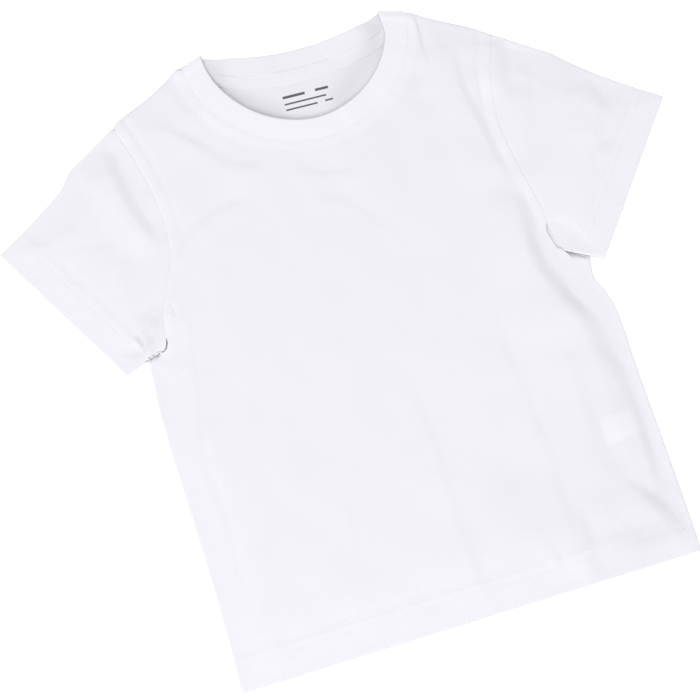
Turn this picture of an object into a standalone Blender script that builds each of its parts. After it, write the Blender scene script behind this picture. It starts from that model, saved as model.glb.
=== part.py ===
"""A child's crew neck t-shirt, laid flat on a surface with its front up.

The scene is in metres with +Z up. X runs across the garment towards the
wearer's left, Y runs from the hem to the neck, and the surface that the shirt
lies on is Z = 0. The origin is on that surface, in the middle of the outline.

All sizes below are in millimetres. The tables and functions measure X from the
centre front line and Y up from the middle of the hem, and world() moves them
to the origin. Each piece is a cloth surface, given by its outer face, with a
Solidify modifier that adds the wall on the inside.
"""

import math
from typing import NamedTuple

import bmesh
import bpy
import numpy as np
from mathutils.geometry import delaunay_2d_cdt

COLLECTION_NAME = "crew_neck_t_shirt"
MM = 0.001
MIDDLE_X = 3.5
MIDDLE_Y = 226.9

# Walls and gaps.
WALL = 1.2
HEM_EXTRA = 1.0
RIB_WALL = 2.0
TAPE_WALL = 1.0
LABEL_WALL = 1.0
SEAM_GAP = 0.3
ARMHOLE_GAP = 0.5
SHOULDER_GAP = 0.8
LAYER_GAP = 0.3

# The top layer's outer face: its height at an edge, and between the folds.
RIM_HEIGHT = 2 * WALL + LAYER_GAP
HEM_RIM_HEIGHT = RIM_HEIGHT + 2 * HEM_EXTRA
SLEEVE_EDGE_HEIGHT = RIM_HEIGHT + 0.4
LOFT_HEIGHT = 5.3
LOFT_WIDTH = 14.0

# The hem: its depth, and how far its edge slopes up for each unit of X.
HALF_WIDTH = 166.0
HEM_DEPTH = 23.0
HEM_MIDDLE = -1.3
HEM_SLOPE = 0.022
HEM_STEP = 1.5
HEM_SLOPE_LENGTH = 8.0
CUFF_DEPTH = 25.0

# The neckline: a superellipse for the front edge and one for the front seam.
NECK_MIDDLE_X = 0.9
NECK_SLOPE = 0.012
NECK_POWER = 1.9
NECK_EDGE_WIDTH = 71.0
NECK_EDGE_TOP = 455.3
NECK_EDGE_DEPTH = 74.0
NECK_SEAM_WIDTH = 86.5
NECK_SEAM_TOP = 451.0
NECK_SEAM_DEPTH = 86.5
NECK_CORNER_RISE = 1.8
NECK_CORNER_REACH = 15.0
BACK_EDGE_Y = 442.6
BACK_SEAM_Y = 426.3
BACK_NECK_POWER = 2.2

# The collar stands a little off the body and turns over the shoulder.
COLLAR_LIFT_FRONT = 0.8
COLLAR_LIFT_SIDE = 2.4
COLLAR_CROWN = 0.5
COLLAR_LEAST_HEIGHT = 4.6
SHOULDER_OUT = (0.40, 0.64)

TAPE_WIDTH = 7.5
TAPE_HALF_LENGTH = 72.0
LABEL_LENGTH = 33.0
LABEL_WIDTH = 19.0
LABEL_X = 124.5
LABEL_Y = 86.5
LABEL_MARGIN = 9.0

# Mesh sizes.
FRONT_SPACING = 10.5
BACK_SPACING = 40.0
OUTLINE_SPACING = 7.0
GRID_CLEARANCE = 0.55
HEM_STEPS = 44
NECKLINE_STEPS = 36
EDGE_INSET = 4.0
SLEEVE_COLUMNS = 15
SLEEVE_ROWS = 7
CUFF_ROWS = 2
COLLAR_FRONT_STEPS = 13
COLLAR_BACK_STEPS = 8
COLLAR_ACROSS = 3
FOLD_TURN_STEPS = 6
EDGE_TURN_STEPS = 4


class SideShape(NamedTuple):
    """One side of the shirt: each row is (distance from the middle, height up from the hem)."""

    sign: int
    side: tuple
    underarm: tuple
    armhole: tuple
    shoulder: tuple
    sleeve_top: tuple
    cuff_corner: tuple


WEARERS_RIGHT = SideShape(
    sign=-1,
    side=((155.6, -4.7), (155.8, 30), (157.4, 80), (160.8, 140), (163.0, 190), (162.4, 212)),
    underarm=(162.2, 231.3),
    armhole=(
        (152.0, 236.0),
        (145.8, 258),
        (137.2, 281),
        (129.6, 307),
        (129.2, 340),
        (135.5, 380),
        (146.4, 414.6),
    ),
    shoulder=((146.4, 414.6), (141.0, 420.3), (123.0, 429.0), (108.0, 437.4), (87.5, 452.0)),
    sleeve_top=(
        (146.4, 414.6),
        (170.6, 398.4),
        (183.0, 390.2),
        (189.5, 382.0),
        (196.2, 373.6),
        (221.5, 353.9),
        (245.6, 337.6),
    ),
    cuff_corner=(178.8, 225.2),
)
WEARERS_LEFT = SideShape(
    sign=1,
    side=((158.9, 2.2), (159.9, 30), (160.7, 80), (161.4, 130), (162.6, 172), (160.2, 192), (155.4, 206)),
    underarm=(157.8, 222.3),
    armhole=(
        (143.5, 231.5),
        (140.6, 246),
        (136.8, 269),
        (131.2, 303),
        (129.2, 340),
        (134.4, 379),
        (146.4, 415.0),
    ),
    shoulder=((146.4, 415.0), (132.5, 425.5), (110.0, 438.3), (87.5, 451.5)),
    sleeve_top=(
        (146.4, 415.0),
        (171.2, 397.0),
        (184.2, 387.6),
        (196.0, 375.4),
        (220.0, 354.2),
        (252.6, 329.8),
    ),
    cuff_corner=(167.4, 217.6),
)


class Fold(NamedTuple):
    """A ridge (height above 0) or valley (below 0) along a line of (x, y) places."""

    height: float
    half_width: float
    line: tuple


FOLDS = (
    # From the wearer's left shoulder past the armhole and down that side.
    Fold(-2.2, 6, ((115, 420), (111, 380), (114, 337), (122, 290), (123, 250))),
    Fold(-2.6, 9, ((122, 268), (126, 221), (140, 183), (151, 140), (154, 100), (153, 72))),
    Fold(1.6, 8, ((139, 232), (147, 205), (157, 165), (160, 120), (160, 84))),
    # Long soft creases down the body.
    Fold(-1.8, 7, ((-126, 268), (-135, 220), (-143, 160), (-141, 110), (-131, 58))),
    Fold(-1.6, 6, ((-2, 185), (12, 147), (14, 90), (15, 20))),
    Fold(1.0, 9, ((10, 190), (27, 147), (30, 90), (31, 24))),
    Fold(-1.3, 6, ((82, 240), (84, 165), (84, 90), (84, 6))),
    Fold(-1.2, 7, ((120, 62), (137, 50), (156, 26))),
    # Drag lines under the collar and across the chest.
    Fold(-1.4, 5, ((-122, 414), (-97, 391), (-78, 368), (-50, 354))),
    Fold(-1.1, 6, ((-118, 292), (-97, 318), (-66, 330))),
    Fold(-0.9, 5, ((-26, 342), (0, 334), (20, 334))),
    Fold(-0.9, 5, ((-10, 318), (6, 306), (20, 288))),
    # The sleeve on the wearer's right.
    Fold(-2.3, 6, ((-161, 398), (-150, 373), (-141, 344), (-134, 312))),
    Fold(1.3, 9, ((-184, 384), (-172, 362), (-161, 340), (-152, 312))),
    Fold(-1.0, 7, ((-226, 342), (-204, 330), (-178, 322))),
    Fold(-1.6, 8, ((-152, 262), (-163, 249), (-176, 240))),
    # The sleeve on the wearer's left.
    Fold(-1.7, 7, ((150, 408), (145, 385), (142, 362))),
    Fold(-0.9, 7, ((167, 384), (153, 345), (144, 318))),
    Fold(-1.3, 9, ((201, 364), (207, 338), (198, 312), (185, 286))),
)


def smooth_line(rows, spacing):
    """Places about spacing apart along a Catmull-Rom curve through the rows."""
    rows = np.array(rows, float)
    ends = np.vstack([2 * rows[0] - rows[1], rows, 2 * rows[-1] - rows[-2]])
    places = []
    for before, start, end, after in zip(ends, ends[1:], ends[2:], ends[3:]):
        steps = max(1, round(np.linalg.norm(end - start) / spacing))
        t = np.arange(steps)[:, None] / steps
        places.append(
            0.5
            * (
                2 * start
                + (end - before) * t
                + (2 * before - 5 * start + 4 * end - after) * t**2
                + (3 * start - before - 3 * end + after) * t**3
            )
        )
    return np.vstack(places + [rows[-1:]])


def spread(line, shares):
    """The places at the given shares of a line's length."""
    run = np.concatenate([[0], np.cumsum(np.linalg.norm(np.diff(line, axis=0), axis=1))])
    wanted = np.asarray(shares) * run[-1]
    return np.stack([np.interp(wanted, run, line[:, 0]), np.interp(wanted, run, line[:, 1])], 1)


def moved_sideways(line, distance):
    """The line moved to its left by distance, seen from above."""
    along = np.gradient(line, axis=0)
    along /= np.linalg.norm(along, axis=1)[:, None]
    return line + distance * np.stack([-along[:, 1], along[:, 0]], 1)


def nearest(places, line):
    """Each place's distance from a line, and how far along it lies, from 0 to 1."""
    start, step = line[:-1], np.diff(line, axis=0)
    offset = places[:, None, :] - start[None]
    share = np.clip((offset * step).sum(2) / (step**2).sum(1), 0, 1)
    gap = np.linalg.norm(offset - share[..., None] * step, axis=2)
    best = gap.argmin(1)
    rows = np.arange(len(places))
    return gap[rows, best], (best + share[rows, best]) / len(step)


def on_side(shape, rows):
    """Rows of (distance from the middle, height) as places on that side."""
    return np.array(rows, float) * (shape.sign, 1)


def hem_y(x):
    return HEM_MIDDLE + HEM_SLOPE * x


def superellipse(width, depth, top, angle):
    """A place on the front neckline: angle 90 is the centre front, 0 and 180 the shoulders."""
    cos, sin = math.cos(math.radians(angle)), math.sin(math.radians(angle))
    x = width * math.copysign(abs(cos) ** (2 / NECK_POWER), cos)
    return x, top - depth * sin ** (2 / NECK_POWER)


def at_neck(x, y):
    """A place that is measured from the middle of the neckline, which lies a little askew."""
    return x + NECK_MIDDLE_X, y + NECK_SLOPE * x


def neck_edge(angle):
    return superellipse(NECK_EDGE_WIDTH, NECK_EDGE_DEPTH, NECK_EDGE_TOP, angle)


def neck_seam(angle):
    return superellipse(NECK_SEAM_WIDTH, NECK_SEAM_DEPTH, NECK_SEAM_TOP, angle)


def back_neck(width, middle, top, x):
    return middle + (top - middle) * (abs(x) / width) ** BACK_NECK_POWER


def back_seam_y(x):
    return back_neck(NECK_SEAM_WIDTH, BACK_SEAM_Y, NECK_SEAM_TOP, x)


def back_edge_y(x):
    return back_neck(NECK_EDGE_WIDTH, BACK_EDGE_Y, NECK_EDGE_TOP, x)


def silhouette_lines():
    """The folded and hemmed edges of the whole shirt, which the top layer slopes down to."""
    lines = []
    for shape in (WEARERS_RIGHT, WEARERS_LEFT):
        lines.append(smooth_line(on_side(shape, shape.side + (shape.underarm,)), 6))
        lines.append(smooth_line(on_side(shape, shape.shoulder), 6))
        lines.append(smooth_line(on_side(shape, shape.sleeve_top), 6))
        lines.append(on_side(shape, (shape.sleeve_top[-1], shape.cuff_corner, shape.armhole[0])))
    corners = [on_side(shape, shape.side[:1])[0] for shape in (WEARERS_RIGHT, WEARERS_LEFT)]
    lines.append(np.array(corners))
    return lines


def cuff_distance(shape, places):
    """How far each place lies inside the edge of the sleeve's hem."""
    tip, corner = on_side(shape, (shape.sleeve_top[-1], shape.cuff_corner))
    along = (corner - tip) / np.linalg.norm(corner - tip)
    inward = np.array([-along[1], along[0]]) * -shape.sign
    return (places - tip) @ inward


def ramp(distance, reach):
    """1 up to no distance, falling to 0 at the reach."""
    return np.clip(1 - np.maximum(distance, 0) / reach, 0, 1)


def rim_height(places):
    """The lowest that the top layer's outer face may lie, so that it clears what is under it."""
    from_hem = places[:, 1] - hem_y(places[:, 0]) - HEM_DEPTH - HEM_STEP
    raised = 2 * HEM_EXTRA * ramp(from_hem, HEM_SLOPE_LENGTH)
    for shape in (WEARERS_RIGHT, WEARERS_LEFT):
        on_sleeve = (shape.sign * places[:, 0] > shape.armhole[0][0] - 1) & (places[:, 1] > 200)
        from_cuff = cuff_distance(shape, places) - CUFF_DEPTH - 1
        raised = np.where(on_sleeve, 2 * HEM_EXTRA * ramp(from_cuff, HEM_SLOPE_LENGTH), raised)
    from_label = np.maximum(
        np.abs(places[:, 0] - LABEL_X - LABEL_LENGTH / 2) - LABEL_LENGTH / 2,
        np.abs(places[:, 1] - LABEL_Y - LABEL_WIDTH / 2) - LABEL_WIDTH / 2,
    )
    over_label = (LABEL_WALL + 1.5 * LAYER_GAP) * ramp(from_label - LABEL_MARGIN, LABEL_MARGIN)
    at_collar = np.zeros(len(places))
    for x in (-NECK_SEAM_WIDTH, NECK_SEAM_WIDTH):
        from_corner = np.linalg.norm(places - at_neck(x, NECK_SEAM_TOP), axis=1)
        at_collar += NECK_CORNER_RISE * ramp(from_corner - 3, NECK_CORNER_REACH)
    return RIM_HEIGHT + np.max([raised, over_label, at_collar], axis=0)


def fold_heights(places):
    """The sum of the folds at each place. A fold fades out over its last fifth at either end."""
    total = np.zeros(len(places))
    for fold in FOLDS:
        gap, share = nearest(places, smooth_line(fold.line, 6))
        fade = np.clip(np.minimum(share, 1 - share) / 0.2, 0, 1)
        total += fold.height * np.exp(-((gap / fold.half_width) ** 2)) * fade * fade * (3 - 2 * fade)
    return total


def top_height(places):
    """The height of the top layer's outer face."""
    places = np.asarray(places, float)
    edge = np.min([nearest(places, line)[0] for line in silhouette_lines()], axis=0)
    inward = np.clip(edge / LOFT_WIDTH, 0, 1)
    rim = rim_height(places)
    lofted = rim + np.maximum(LOFT_HEIGHT - rim, 0) * np.sqrt(1 - (1 - inward) ** 2)
    return np.maximum(lofted + fold_heights(places) * inward, rim)


def world(x, y, z):
    return (x - MIDDLE_X) * MM, (y - MIDDLE_Y) * MM, z * MM


def material(name, colour, roughness):
    made = bpy.data.materials.new(name)
    made.use_nodes = True
    shader = made.node_tree.nodes["Principled BSDF"]
    shader.inputs["Base Color"].default_value = (*colour, 1.0)
    shader.inputs["Roughness"].default_value = roughness
    shader.inputs["Metallic"].default_value = 0.0
    made.diffuse_color = (*colour, 1.0)
    return made


def mesh_object(name, collection, finish, places, faces):
    """An object with these faces, smooth shaded and with its place in its mesh."""
    mesh = bpy.data.meshes.new(name)
    mesh.from_pydata([world(*place) for place in places], [], faces)
    mesh.materials.append(finish)
    obj = bpy.data.objects.new(name, mesh)
    collection.objects.link(obj)
    mesh.shade_smooth()
    return obj


def add_wall(obj, wall, thick_places=(), extra=0.0):
    """The cloth's wall, added inwards. The thick places, such as a hem, get the extra too."""
    solidify = obj.modifiers.new("wall", "SOLIDIFY")
    solidify.thickness = (wall + extra) * MM
    solidify.offset = -1
    if extra:
        group = obj.vertex_groups.new(name="thick")
        group.add([int(i) for i in thick_places], 1.0, "REPLACE")
        solidify.vertex_group = group.name
        solidify.thickness_vertex_group = wall / (wall + extra)


def closed(outline):
    return np.vstack([outline, outline[:1]])


def filled(outline, lines, loose, spacing):
    """Places and triangles that fill a closed outline, with the lines as edges among them and the
    loose places as corners."""
    loops = [outline] + list(lines)
    fixed = np.vstack(loops + [loose])
    edges, first = [], 0
    for loop in loops:
        edges += [(first + i, first + i + 1) for i in range(len(loop) - 1)]
        first += len(loop)
    edges.append((len(outline) - 1, 0))
    low, high = outline.min(0), outline.max(0)
    rows = np.arange(low[1], high[1], spacing * math.sqrt(3) / 2)
    columns = np.arange(low[0], high[0], spacing)
    grid = np.array([(x + (i % 2) * spacing / 2, y) for i, y in enumerate(rows) for x in columns])
    clear = nearest(grid, closed(outline))[0] > spacing * GRID_CLEARANCE
    for line in list(lines) + [loose]:
        if len(line):
            clear &= nearest(grid, line)[0] > spacing * GRID_CLEARANCE
    coords = [tuple(place) for place in np.vstack([fixed, grid[clear]])]
    corners, _, faces = delaunay_2d_cdt(coords, edges, [list(range(len(outline)))], 1, 1e-4)[:3]
    used, faces = np.unique(faces, return_inverse=True)
    return np.array([tuple(corners[i]) for i in used]), faces.reshape(-1, 3).tolist()


def body_outline(neckline):
    """The outline of a body panel, from the hem's left end round by the right side and the neck."""
    right, left = WEARERS_RIGHT, WEARERS_LEFT
    hem_ends = np.array([on_side(right, right.side[:1])[0], on_side(left, left.side[:1])[0]])
    hem = spread(hem_ends, np.linspace(0, 1, HEM_STEPS + 1))

    def one_side(shape):
        side = smooth_line(on_side(shape, shape.side + (shape.underarm,)), OUTLINE_SPACING)
        armhole = smooth_line(on_side(shape, shape.armhole), OUTLINE_SPACING)
        armhole = moved_sideways(armhole, shape.sign * ARMHOLE_GAP / 2)
        armhole[0] += (0, -ARMHOLE_GAP / 2)
        shoulder = smooth_line(on_side(shape, shape.shoulder), OUTLINE_SPACING)
        return np.vstack([side[1:], armhole, shoulder[1:-1]])

    return np.vstack([hem, one_side(left), neckline, one_side(right)[::-1]])


def front_neckline(inset):
    angles = np.linspace(0, 180, NECKLINE_STEPS + 1)
    line = np.array([at_neck(*neck_seam(angle)) for angle in angles])
    return moved_sideways(line, inset)


def back_neckline(inset):
    xs = NECK_SEAM_WIDTH * np.cos(np.linspace(0, math.pi, 2 * COLLAR_BACK_STEPS + 1))
    return np.array([at_neck(x, back_seam_y(x) - inset) for x in xs])


def hem_lines():
    """The two lines between which the hem's extra thickness ends. They run out past the sides."""
    xs = np.linspace(-HALF_WIDTH, HALF_WIDTH, HEM_STEPS + 1)
    return [np.array([(x, hem_y(x) + depth) for x in xs]) for depth in (HEM_DEPTH, HEM_DEPTH + HEM_STEP)]


def in_hem(places):
    """The indices of the places in the hem."""
    return np.nonzero(places[:, 1] - hem_y(places[:, 0]) < HEM_DEPTH + HEM_STEP / 2)[0]


def make_back(collection, finish):
    """The back panel, flat on the surface with its outer face down."""
    outline = body_outline(back_neckline(SEAM_GAP / 2))
    places, faces = filled(outline, hem_lines(), np.empty((0, 2)), BACK_SPACING)
    solid = [(x, y, 0.0) for x, y in places]
    obj = mesh_object("back", collection, finish, solid, [face[::-1] for face in faces])
    add_wall(obj, WALL, in_hem(places), HEM_EXTRA)
    return obj


def inset_line(outline, distance):
    """A closed outline moved inwards, without the places where it would come too near itself."""
    moved = moved_sideways(np.vstack([outline[-1:], closed(outline)]), distance)[1:-1]
    return moved[nearest(moved, closed(outline))[0] > distance * 0.8]


def make_front(collection, finish):
    """The front panel, on the back panel, with its loft and folds."""
    outline = body_outline(front_neckline(SEAM_GAP / 2))
    inner = inset_line(outline, EDGE_INSET)
    above_hem = inner[inner[:, 1] - hem_y(inner[:, 0]) > HEM_DEPTH + HEM_STEP + 2]
    places, faces = filled(outline, hem_lines(), above_hem[::2], FRONT_SPACING)
    heights = top_height(places)
    solid = [(x, y, z) for (x, y), z in zip(places, heights)]
    obj = mesh_object("front", collection, finish, solid, faces)
    add_wall(obj, WALL, in_hem(places), HEM_EXTRA)
    return obj


def cuff_cross(shape, line):
    """Where a line from the armhole to the cuff comes within the hem of the sleeve, as a share."""
    shares = np.linspace(0, 1, 400)
    depth = cuff_distance(shape, spread(line, shares))
    return shares[np.argmax(depth < CUFF_DEPTH)]


def sleeve_net(shape):
    """Rows of flat places from the armhole to the cuff, each from the top fold to the underarm."""
    armhole = smooth_line(on_side(shape, shape.armhole), 3)[::-1]
    armhole = moved_sideways(armhole, shape.sign * ARMHOLE_GAP / 2)
    top = smooth_line(on_side(shape, shape.sleeve_top), 3)
    cuff = on_side(shape, (shape.sleeve_top[-1], shape.cuff_corner))
    outwards = np.array([shape.sign * ARMHOLE_GAP, ARMHOLE_GAP / 2])
    under = np.array([armhole[-1] + outwards, cuff[1] + (0, SEAM_GAP / 2)])
    armhole[-1] = under[0]
    top[0] = armhole[0]
    down = np.linspace(0, 1, SLEEVE_COLUMNS + 1)
    top_share, under_share = cuff_cross(shape, top), cuff_cross(shape, under)
    body = np.linspace(0, 1, SLEEVE_ROWS + 1)
    stations = [(t * top_share, t * under_share) for t in body]
    for t in np.linspace(0, 1, CUFF_ROWS + 1)[1:]:
        stations.append((top_share + t * (1 - top_share), under_share + t * (1 - under_share)))
    first, last = spread(armhole, down), spread(cuff, down)
    net = []
    for top_at, under_at in stations:
        start, end = spread(top, [top_at])[0], spread(under, [under_at])[0]
        along = ((1 - down) * top_at + down * under_at)[:, None]
        across = down[:, None]
        ruled = (1 - along) * first + along * last
        edge = (1 - across) * (start - ruled[0]) + across * (end - ruled[-1])
        net.append(ruled + edge)
    return net


def sleeve_ring(row, heights, edge_height):
    """One closed section of the sleeve: its lower face, underarm turn, upper face and top turn."""

    def turn(end, inner, angles):
        inward = (inner - end) / np.linalg.norm(inner - end)
        radius = edge_height / 2
        return [(*(end + inward * radius * (1 - math.cos(a))), radius * (1 + math.sin(a))) for a in angles]

    rising = np.radians(np.linspace(-90, 90, EDGE_TURN_STEPS + 1))
    ring = [(x, y, 0.0) for x, y in row[1:-1]]
    ring += turn(row[-1], row[-2], rising)
    ring += [(x, y, z) for (x, y), z in zip(row[-2:0:-1], heights[-2:0:-1])]
    ring += turn(row[0], row[1], rising[::-1])
    return ring


def make_sleeve(shape, name, collection, finish):
    """One sleeve, a tube pressed flat, open at the armhole and at the cuff."""
    net = sleeve_net(shape)
    rings = []
    for index, row in enumerate(net):
        edge_height = HEM_RIM_HEIGHT if index >= SLEEVE_ROWS else SLEEVE_EDGE_HEIGHT
        rings.append(sleeve_ring(row, np.maximum(top_height(row), edge_height), edge_height))
    count = len(rings[0])
    places = [place for ring in rings for place in ring]
    faces = []
    for r in range(len(rings) - 1):
        for i in range(count):
            j = (i + 1) % count
            face = [r * count + i, r * count + j, (r + 1) * count + j, (r + 1) * count + i]
            faces.append(face if shape.sign < 0 else face[::-1])
    obj = mesh_object(name, collection, finish, places, faces)
    thick = range(SLEEVE_ROWS * count, len(places))
    add_wall(obj, WALL, thick, HEM_EXTRA)
    return obj


def collar_half(sign):
    """Stations of the collar on one side, from the centre front over the shoulder to the centre
    back. Each has its neck edge and its seam, on the outer face, and its gap to the seam's other side."""
    stations = []
    for step in range(COLLAR_FRONT_STEPS + 1):
        angle = 90 * (1 - step / COLLAR_FRONT_STEPS)
        share = math.sin(math.radians(90 - angle))
        edge_x, edge_y = neck_edge(angle)
        seam_x, seam_y = neck_seam(angle)
        seam_z = max(top_height([at_neck(sign * seam_x, seam_y)])[0], COLLAR_LEAST_HEIGHT)
        lift = COLLAR_LIFT_FRONT + (COLLAR_LIFT_SIDE - COLLAR_LIFT_FRONT) * share
        stations.append(((edge_x, edge_y, seam_z + lift), (seam_x, seam_y, seam_z), SEAM_GAP / 2))
    (edge_x, edge_y, edge_z), (seam_x, seam_y, seam_z), _ = stations[-1]

    def over_shoulder(x, y, height, angle):
        radius = height / 2
        reach = radius * math.cos(angle)
        return x + reach * SHOULDER_OUT[0], y + reach * SHOULDER_OUT[1], radius * (1 + math.sin(angle))

    for step in range(1, FOLD_TURN_STEPS + 1):
        angle = math.radians(90 - 180 * step / FOLD_TURN_STEPS)
        edge = over_shoulder(edge_x, edge_y, edge_z, angle)
        seam = over_shoulder(seam_x, seam_y, seam_z, angle)
        stations.append((edge, seam, SEAM_GAP / 2 + SHOULDER_GAP * math.cos(angle)))
    for step in range(1, COLLAR_BACK_STEPS + 1):
        cos = math.cos(math.radians(90 * step / COLLAR_BACK_STEPS))
        edge_x, seam_x = NECK_EDGE_WIDTH * cos, NECK_SEAM_WIDTH * cos
        edge, seam = (edge_x, back_edge_y(edge_x), 0.0), (seam_x, back_seam_y(seam_x), 0.0)
        stations.append((edge, seam, SEAM_GAP / 2))

    def placed(x, y, z):
        return np.array([*at_neck(sign * x, y), z])

    return [(placed(*edge), placed(*seam), gap) for edge, seam, gap in stations]


def make_collar(collection, finish):
    """The collar, one ring of rib. Its front half lies on the front, its back half on the surface."""
    left, right = collar_half(1), collar_half(-1)
    stations = left + right[-2:0:-1]
    places = []
    for edge, seam, gap in stations:
        on_top = min(1.0, (edge[2] + seam[2]) / (2 * COLLAR_LEAST_HEIGHT))
        seam = seam + (edge - seam) / np.linalg.norm(edge - seam) * gap
        for step in range(COLLAR_ACROSS + 1):
            share = step / COLLAR_ACROSS
            crown = COLLAR_CROWN * on_top * math.sin(math.pi * share)
            place = edge * (1 - share) + seam * share
            places.append((place[0], place[1], place[2] + crown))
    across = COLLAR_ACROSS + 1
    faces = []
    for s in range(len(stations)):
        after = (s + 1) % len(stations)
        for i in range(COLLAR_ACROSS):
            face = [s * across + i, s * across + i + 1, after * across + i + 1, after * across + i]
            faces.append(face)
    obj = mesh_object("collar", collection, finish, places, faces)
    add_wall(obj, RIB_WALL)
    return obj


def make_neck_tape(collection, finish):
    """The tape that covers the back neck seam, on the inside of the back."""
    xs = np.linspace(-TAPE_HALF_LENGTH, TAPE_HALF_LENGTH, 33)
    bottom = WALL + LAYER_GAP
    places, faces = [], []
    for x in xs:
        along, upper = at_neck(x, back_seam_y(x) - 2 * SEAM_GAP)
        places += [(along, upper - TAPE_WIDTH, bottom + TAPE_WALL), (along, upper, bottom + TAPE_WALL)]
    for i in range(len(xs) - 1):
        faces.append([2 * i, 2 * i + 2, 2 * i + 3, 2 * i + 1])
    obj = mesh_object("neck_tape", collection, finish, places, faces)
    add_wall(obj, TAPE_WALL)
    return obj


def make_care_label(collection, finish):
    """The care label, on the inside of the back at the wearer's left side seam."""
    mesh = bpy.data.meshes.new("care_label")
    shape = bmesh.new()
    bmesh.ops.create_cube(shape, size=1.0)
    bmesh.ops.scale(shape, vec=(LABEL_LENGTH * MM, LABEL_WIDTH * MM, LABEL_WALL * MM), verts=shape.verts)
    middle = world(
        LABEL_X + LABEL_LENGTH / 2,
        LABEL_Y + LABEL_WIDTH / 2,
        WALL + LAYER_GAP + LABEL_WALL / 2,
    )
    bmesh.ops.translate(shape, vec=middle, verts=shape.verts)
    shape.to_mesh(mesh)
    shape.free()
    mesh.materials.append(finish)
    obj = bpy.data.objects.new("care_label", mesh)
    collection.objects.link(obj)
    return obj


def main():
    for old in list(bpy.data.objects):
        bpy.data.objects.remove(old, do_unlink=True)
    collection = bpy.data.collections.new(COLLECTION_NAME)
    bpy.context.scene.collection.children.link(collection)
    jersey = material("white_jersey", (0.90, 0.90, 0.93), 0.9)
    sleeve_jersey = material("white_sleeve_jersey", (0.89, 0.89, 0.92), 0.9)
    rib = material("white_rib", (0.92, 0.92, 0.95), 0.9)
    tape = material("white_tape", (0.91, 0.91, 0.94), 0.85)
    satin = material("white_label_satin", (0.95, 0.95, 0.96), 0.5)
    make_back(collection, jersey)
    make_front(collection, jersey)
    make_sleeve(WEARERS_RIGHT, "right_sleeve", collection, sleeve_jersey)
    make_sleeve(WEARERS_LEFT, "left_sleeve", collection, sleeve_jersey)
    make_collar(collection, rib)
    make_neck_tape(collection, tape)
    make_care_label(collection, satin)


main()
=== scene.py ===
"""A child's crew neck t-shirt in white cotton jersey, laid flat on a pale surface, front up.

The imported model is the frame, and each piece of cloth replaces its node and lies where
the node lies. The tables measure in millimetres on the laid shirt: X from the centre
front line towards the wearer's left, and Y up from the middle of the hem. world() turns
them into the frame's metres, whose origin is on the surface under the middle of the shirt.
"""

from __future__ import annotations

import logging
import math
from dataclasses import dataclass, field
from enum import Enum
from functools import cache

import bmesh
import bpy
import numpy as np
from mathutils.geometry import delaunay_2d_cdt
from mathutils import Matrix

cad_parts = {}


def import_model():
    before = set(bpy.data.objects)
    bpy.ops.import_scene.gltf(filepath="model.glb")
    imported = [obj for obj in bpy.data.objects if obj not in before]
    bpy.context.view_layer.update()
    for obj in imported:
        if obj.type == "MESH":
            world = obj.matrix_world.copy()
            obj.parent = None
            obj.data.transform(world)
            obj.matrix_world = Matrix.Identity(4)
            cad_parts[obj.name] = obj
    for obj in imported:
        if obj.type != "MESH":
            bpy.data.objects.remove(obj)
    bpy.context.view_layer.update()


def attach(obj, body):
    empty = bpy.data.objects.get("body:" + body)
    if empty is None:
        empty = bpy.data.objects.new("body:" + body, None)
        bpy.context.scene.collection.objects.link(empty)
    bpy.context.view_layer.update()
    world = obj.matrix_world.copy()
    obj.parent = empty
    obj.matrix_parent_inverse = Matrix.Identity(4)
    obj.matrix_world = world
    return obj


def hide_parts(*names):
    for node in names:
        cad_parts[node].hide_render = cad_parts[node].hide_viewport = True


LOG = logging.getLogger("crew_neck_t_shirt")
BODY = "root"
UV_NAME = "cloth"
# The attribute with each place's doubled share, and with painted shade where that share is below 0.
DOUBLED_AND_PAINTED_SHADE = "doubled"
MM = 0.001
# The pattern's place that lies at the frame's origin.
MIDDLE_X = 3.5
MIDDLE_Y = 226.9
# How many places are measured against a line at once.
CHUNK = 4096
# How far apart the places are along the shirt's edges, a crease and a band of painted shade.
EDGE_SPACING = 2.0
CREASE_SPACING = 5.0
PAINTED_SHADE_SPACING = 4.0
# The direction in which the wall of a crease falls.
FAR_SIDE = (0.55, 0.84)
# The least share of a crease's length over which its end fades out.
LEAST_FADE = 0.01
# A place belongs to a sleeve's hem above this height and from this far inside the armhole's foot.
SLEEVE_FOOT = 212.0
SLEEVE_MARGIN = 12.0

Array = np.ndarray
Socket = bpy.types.NodeSocket
Pair = tuple[float, float]
Rows = tuple[Pair, ...]
Place = tuple[float, float, float]
# A collar's neck edge and its seam at one place, and its share of being on top.
Section = tuple[Place, Place, float]


class Layer(Enum):
    """Which layer of the laid shirt a face belongs to."""

    TOP = "top"
    UNDER = "under"


# -------- lines and places


def world(places: Array) -> Array:
    """Places of (x, y, z) in pattern millimetres, in the frame's metres."""
    return (np.asarray(places, float) - (MIDDLE_X, MIDDLE_Y, 0.0)) * MM


def smooth_line(rows: Rows | Array, spacing: float) -> Array:
    """A Catmull-Rom curve through the rows.

    Args:
        rows: The places that the curve passes.
        spacing: About how far apart its places are.

    Returns:
        Places along the curve.
    """
    rows = np.array(rows, float)
    ends = np.vstack([2 * rows[0] - rows[1], rows, 2 * rows[-1] - rows[-2]])
    places = []
    for before, start, end, after in zip(ends, ends[1:], ends[2:], ends[3:]):
        steps = max(1, round(np.linalg.norm(end - start) / spacing))
        t = np.arange(steps)[:, None] / steps
        bend = 2 * before - 5 * start + 4 * end - after
        turn = 3 * start - before - 3 * end + after
        places.append(0.5 * (2 * start + (end - before) * t + bend * t**2 + turn * t**3))
    return np.vstack(places + [rows[-1:]])


def run_of(line: Array) -> Array:
    """How far along a line each of its places is."""
    return np.concatenate([[0.0], np.cumsum(np.linalg.norm(np.diff(line, axis=0), axis=1))])


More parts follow.
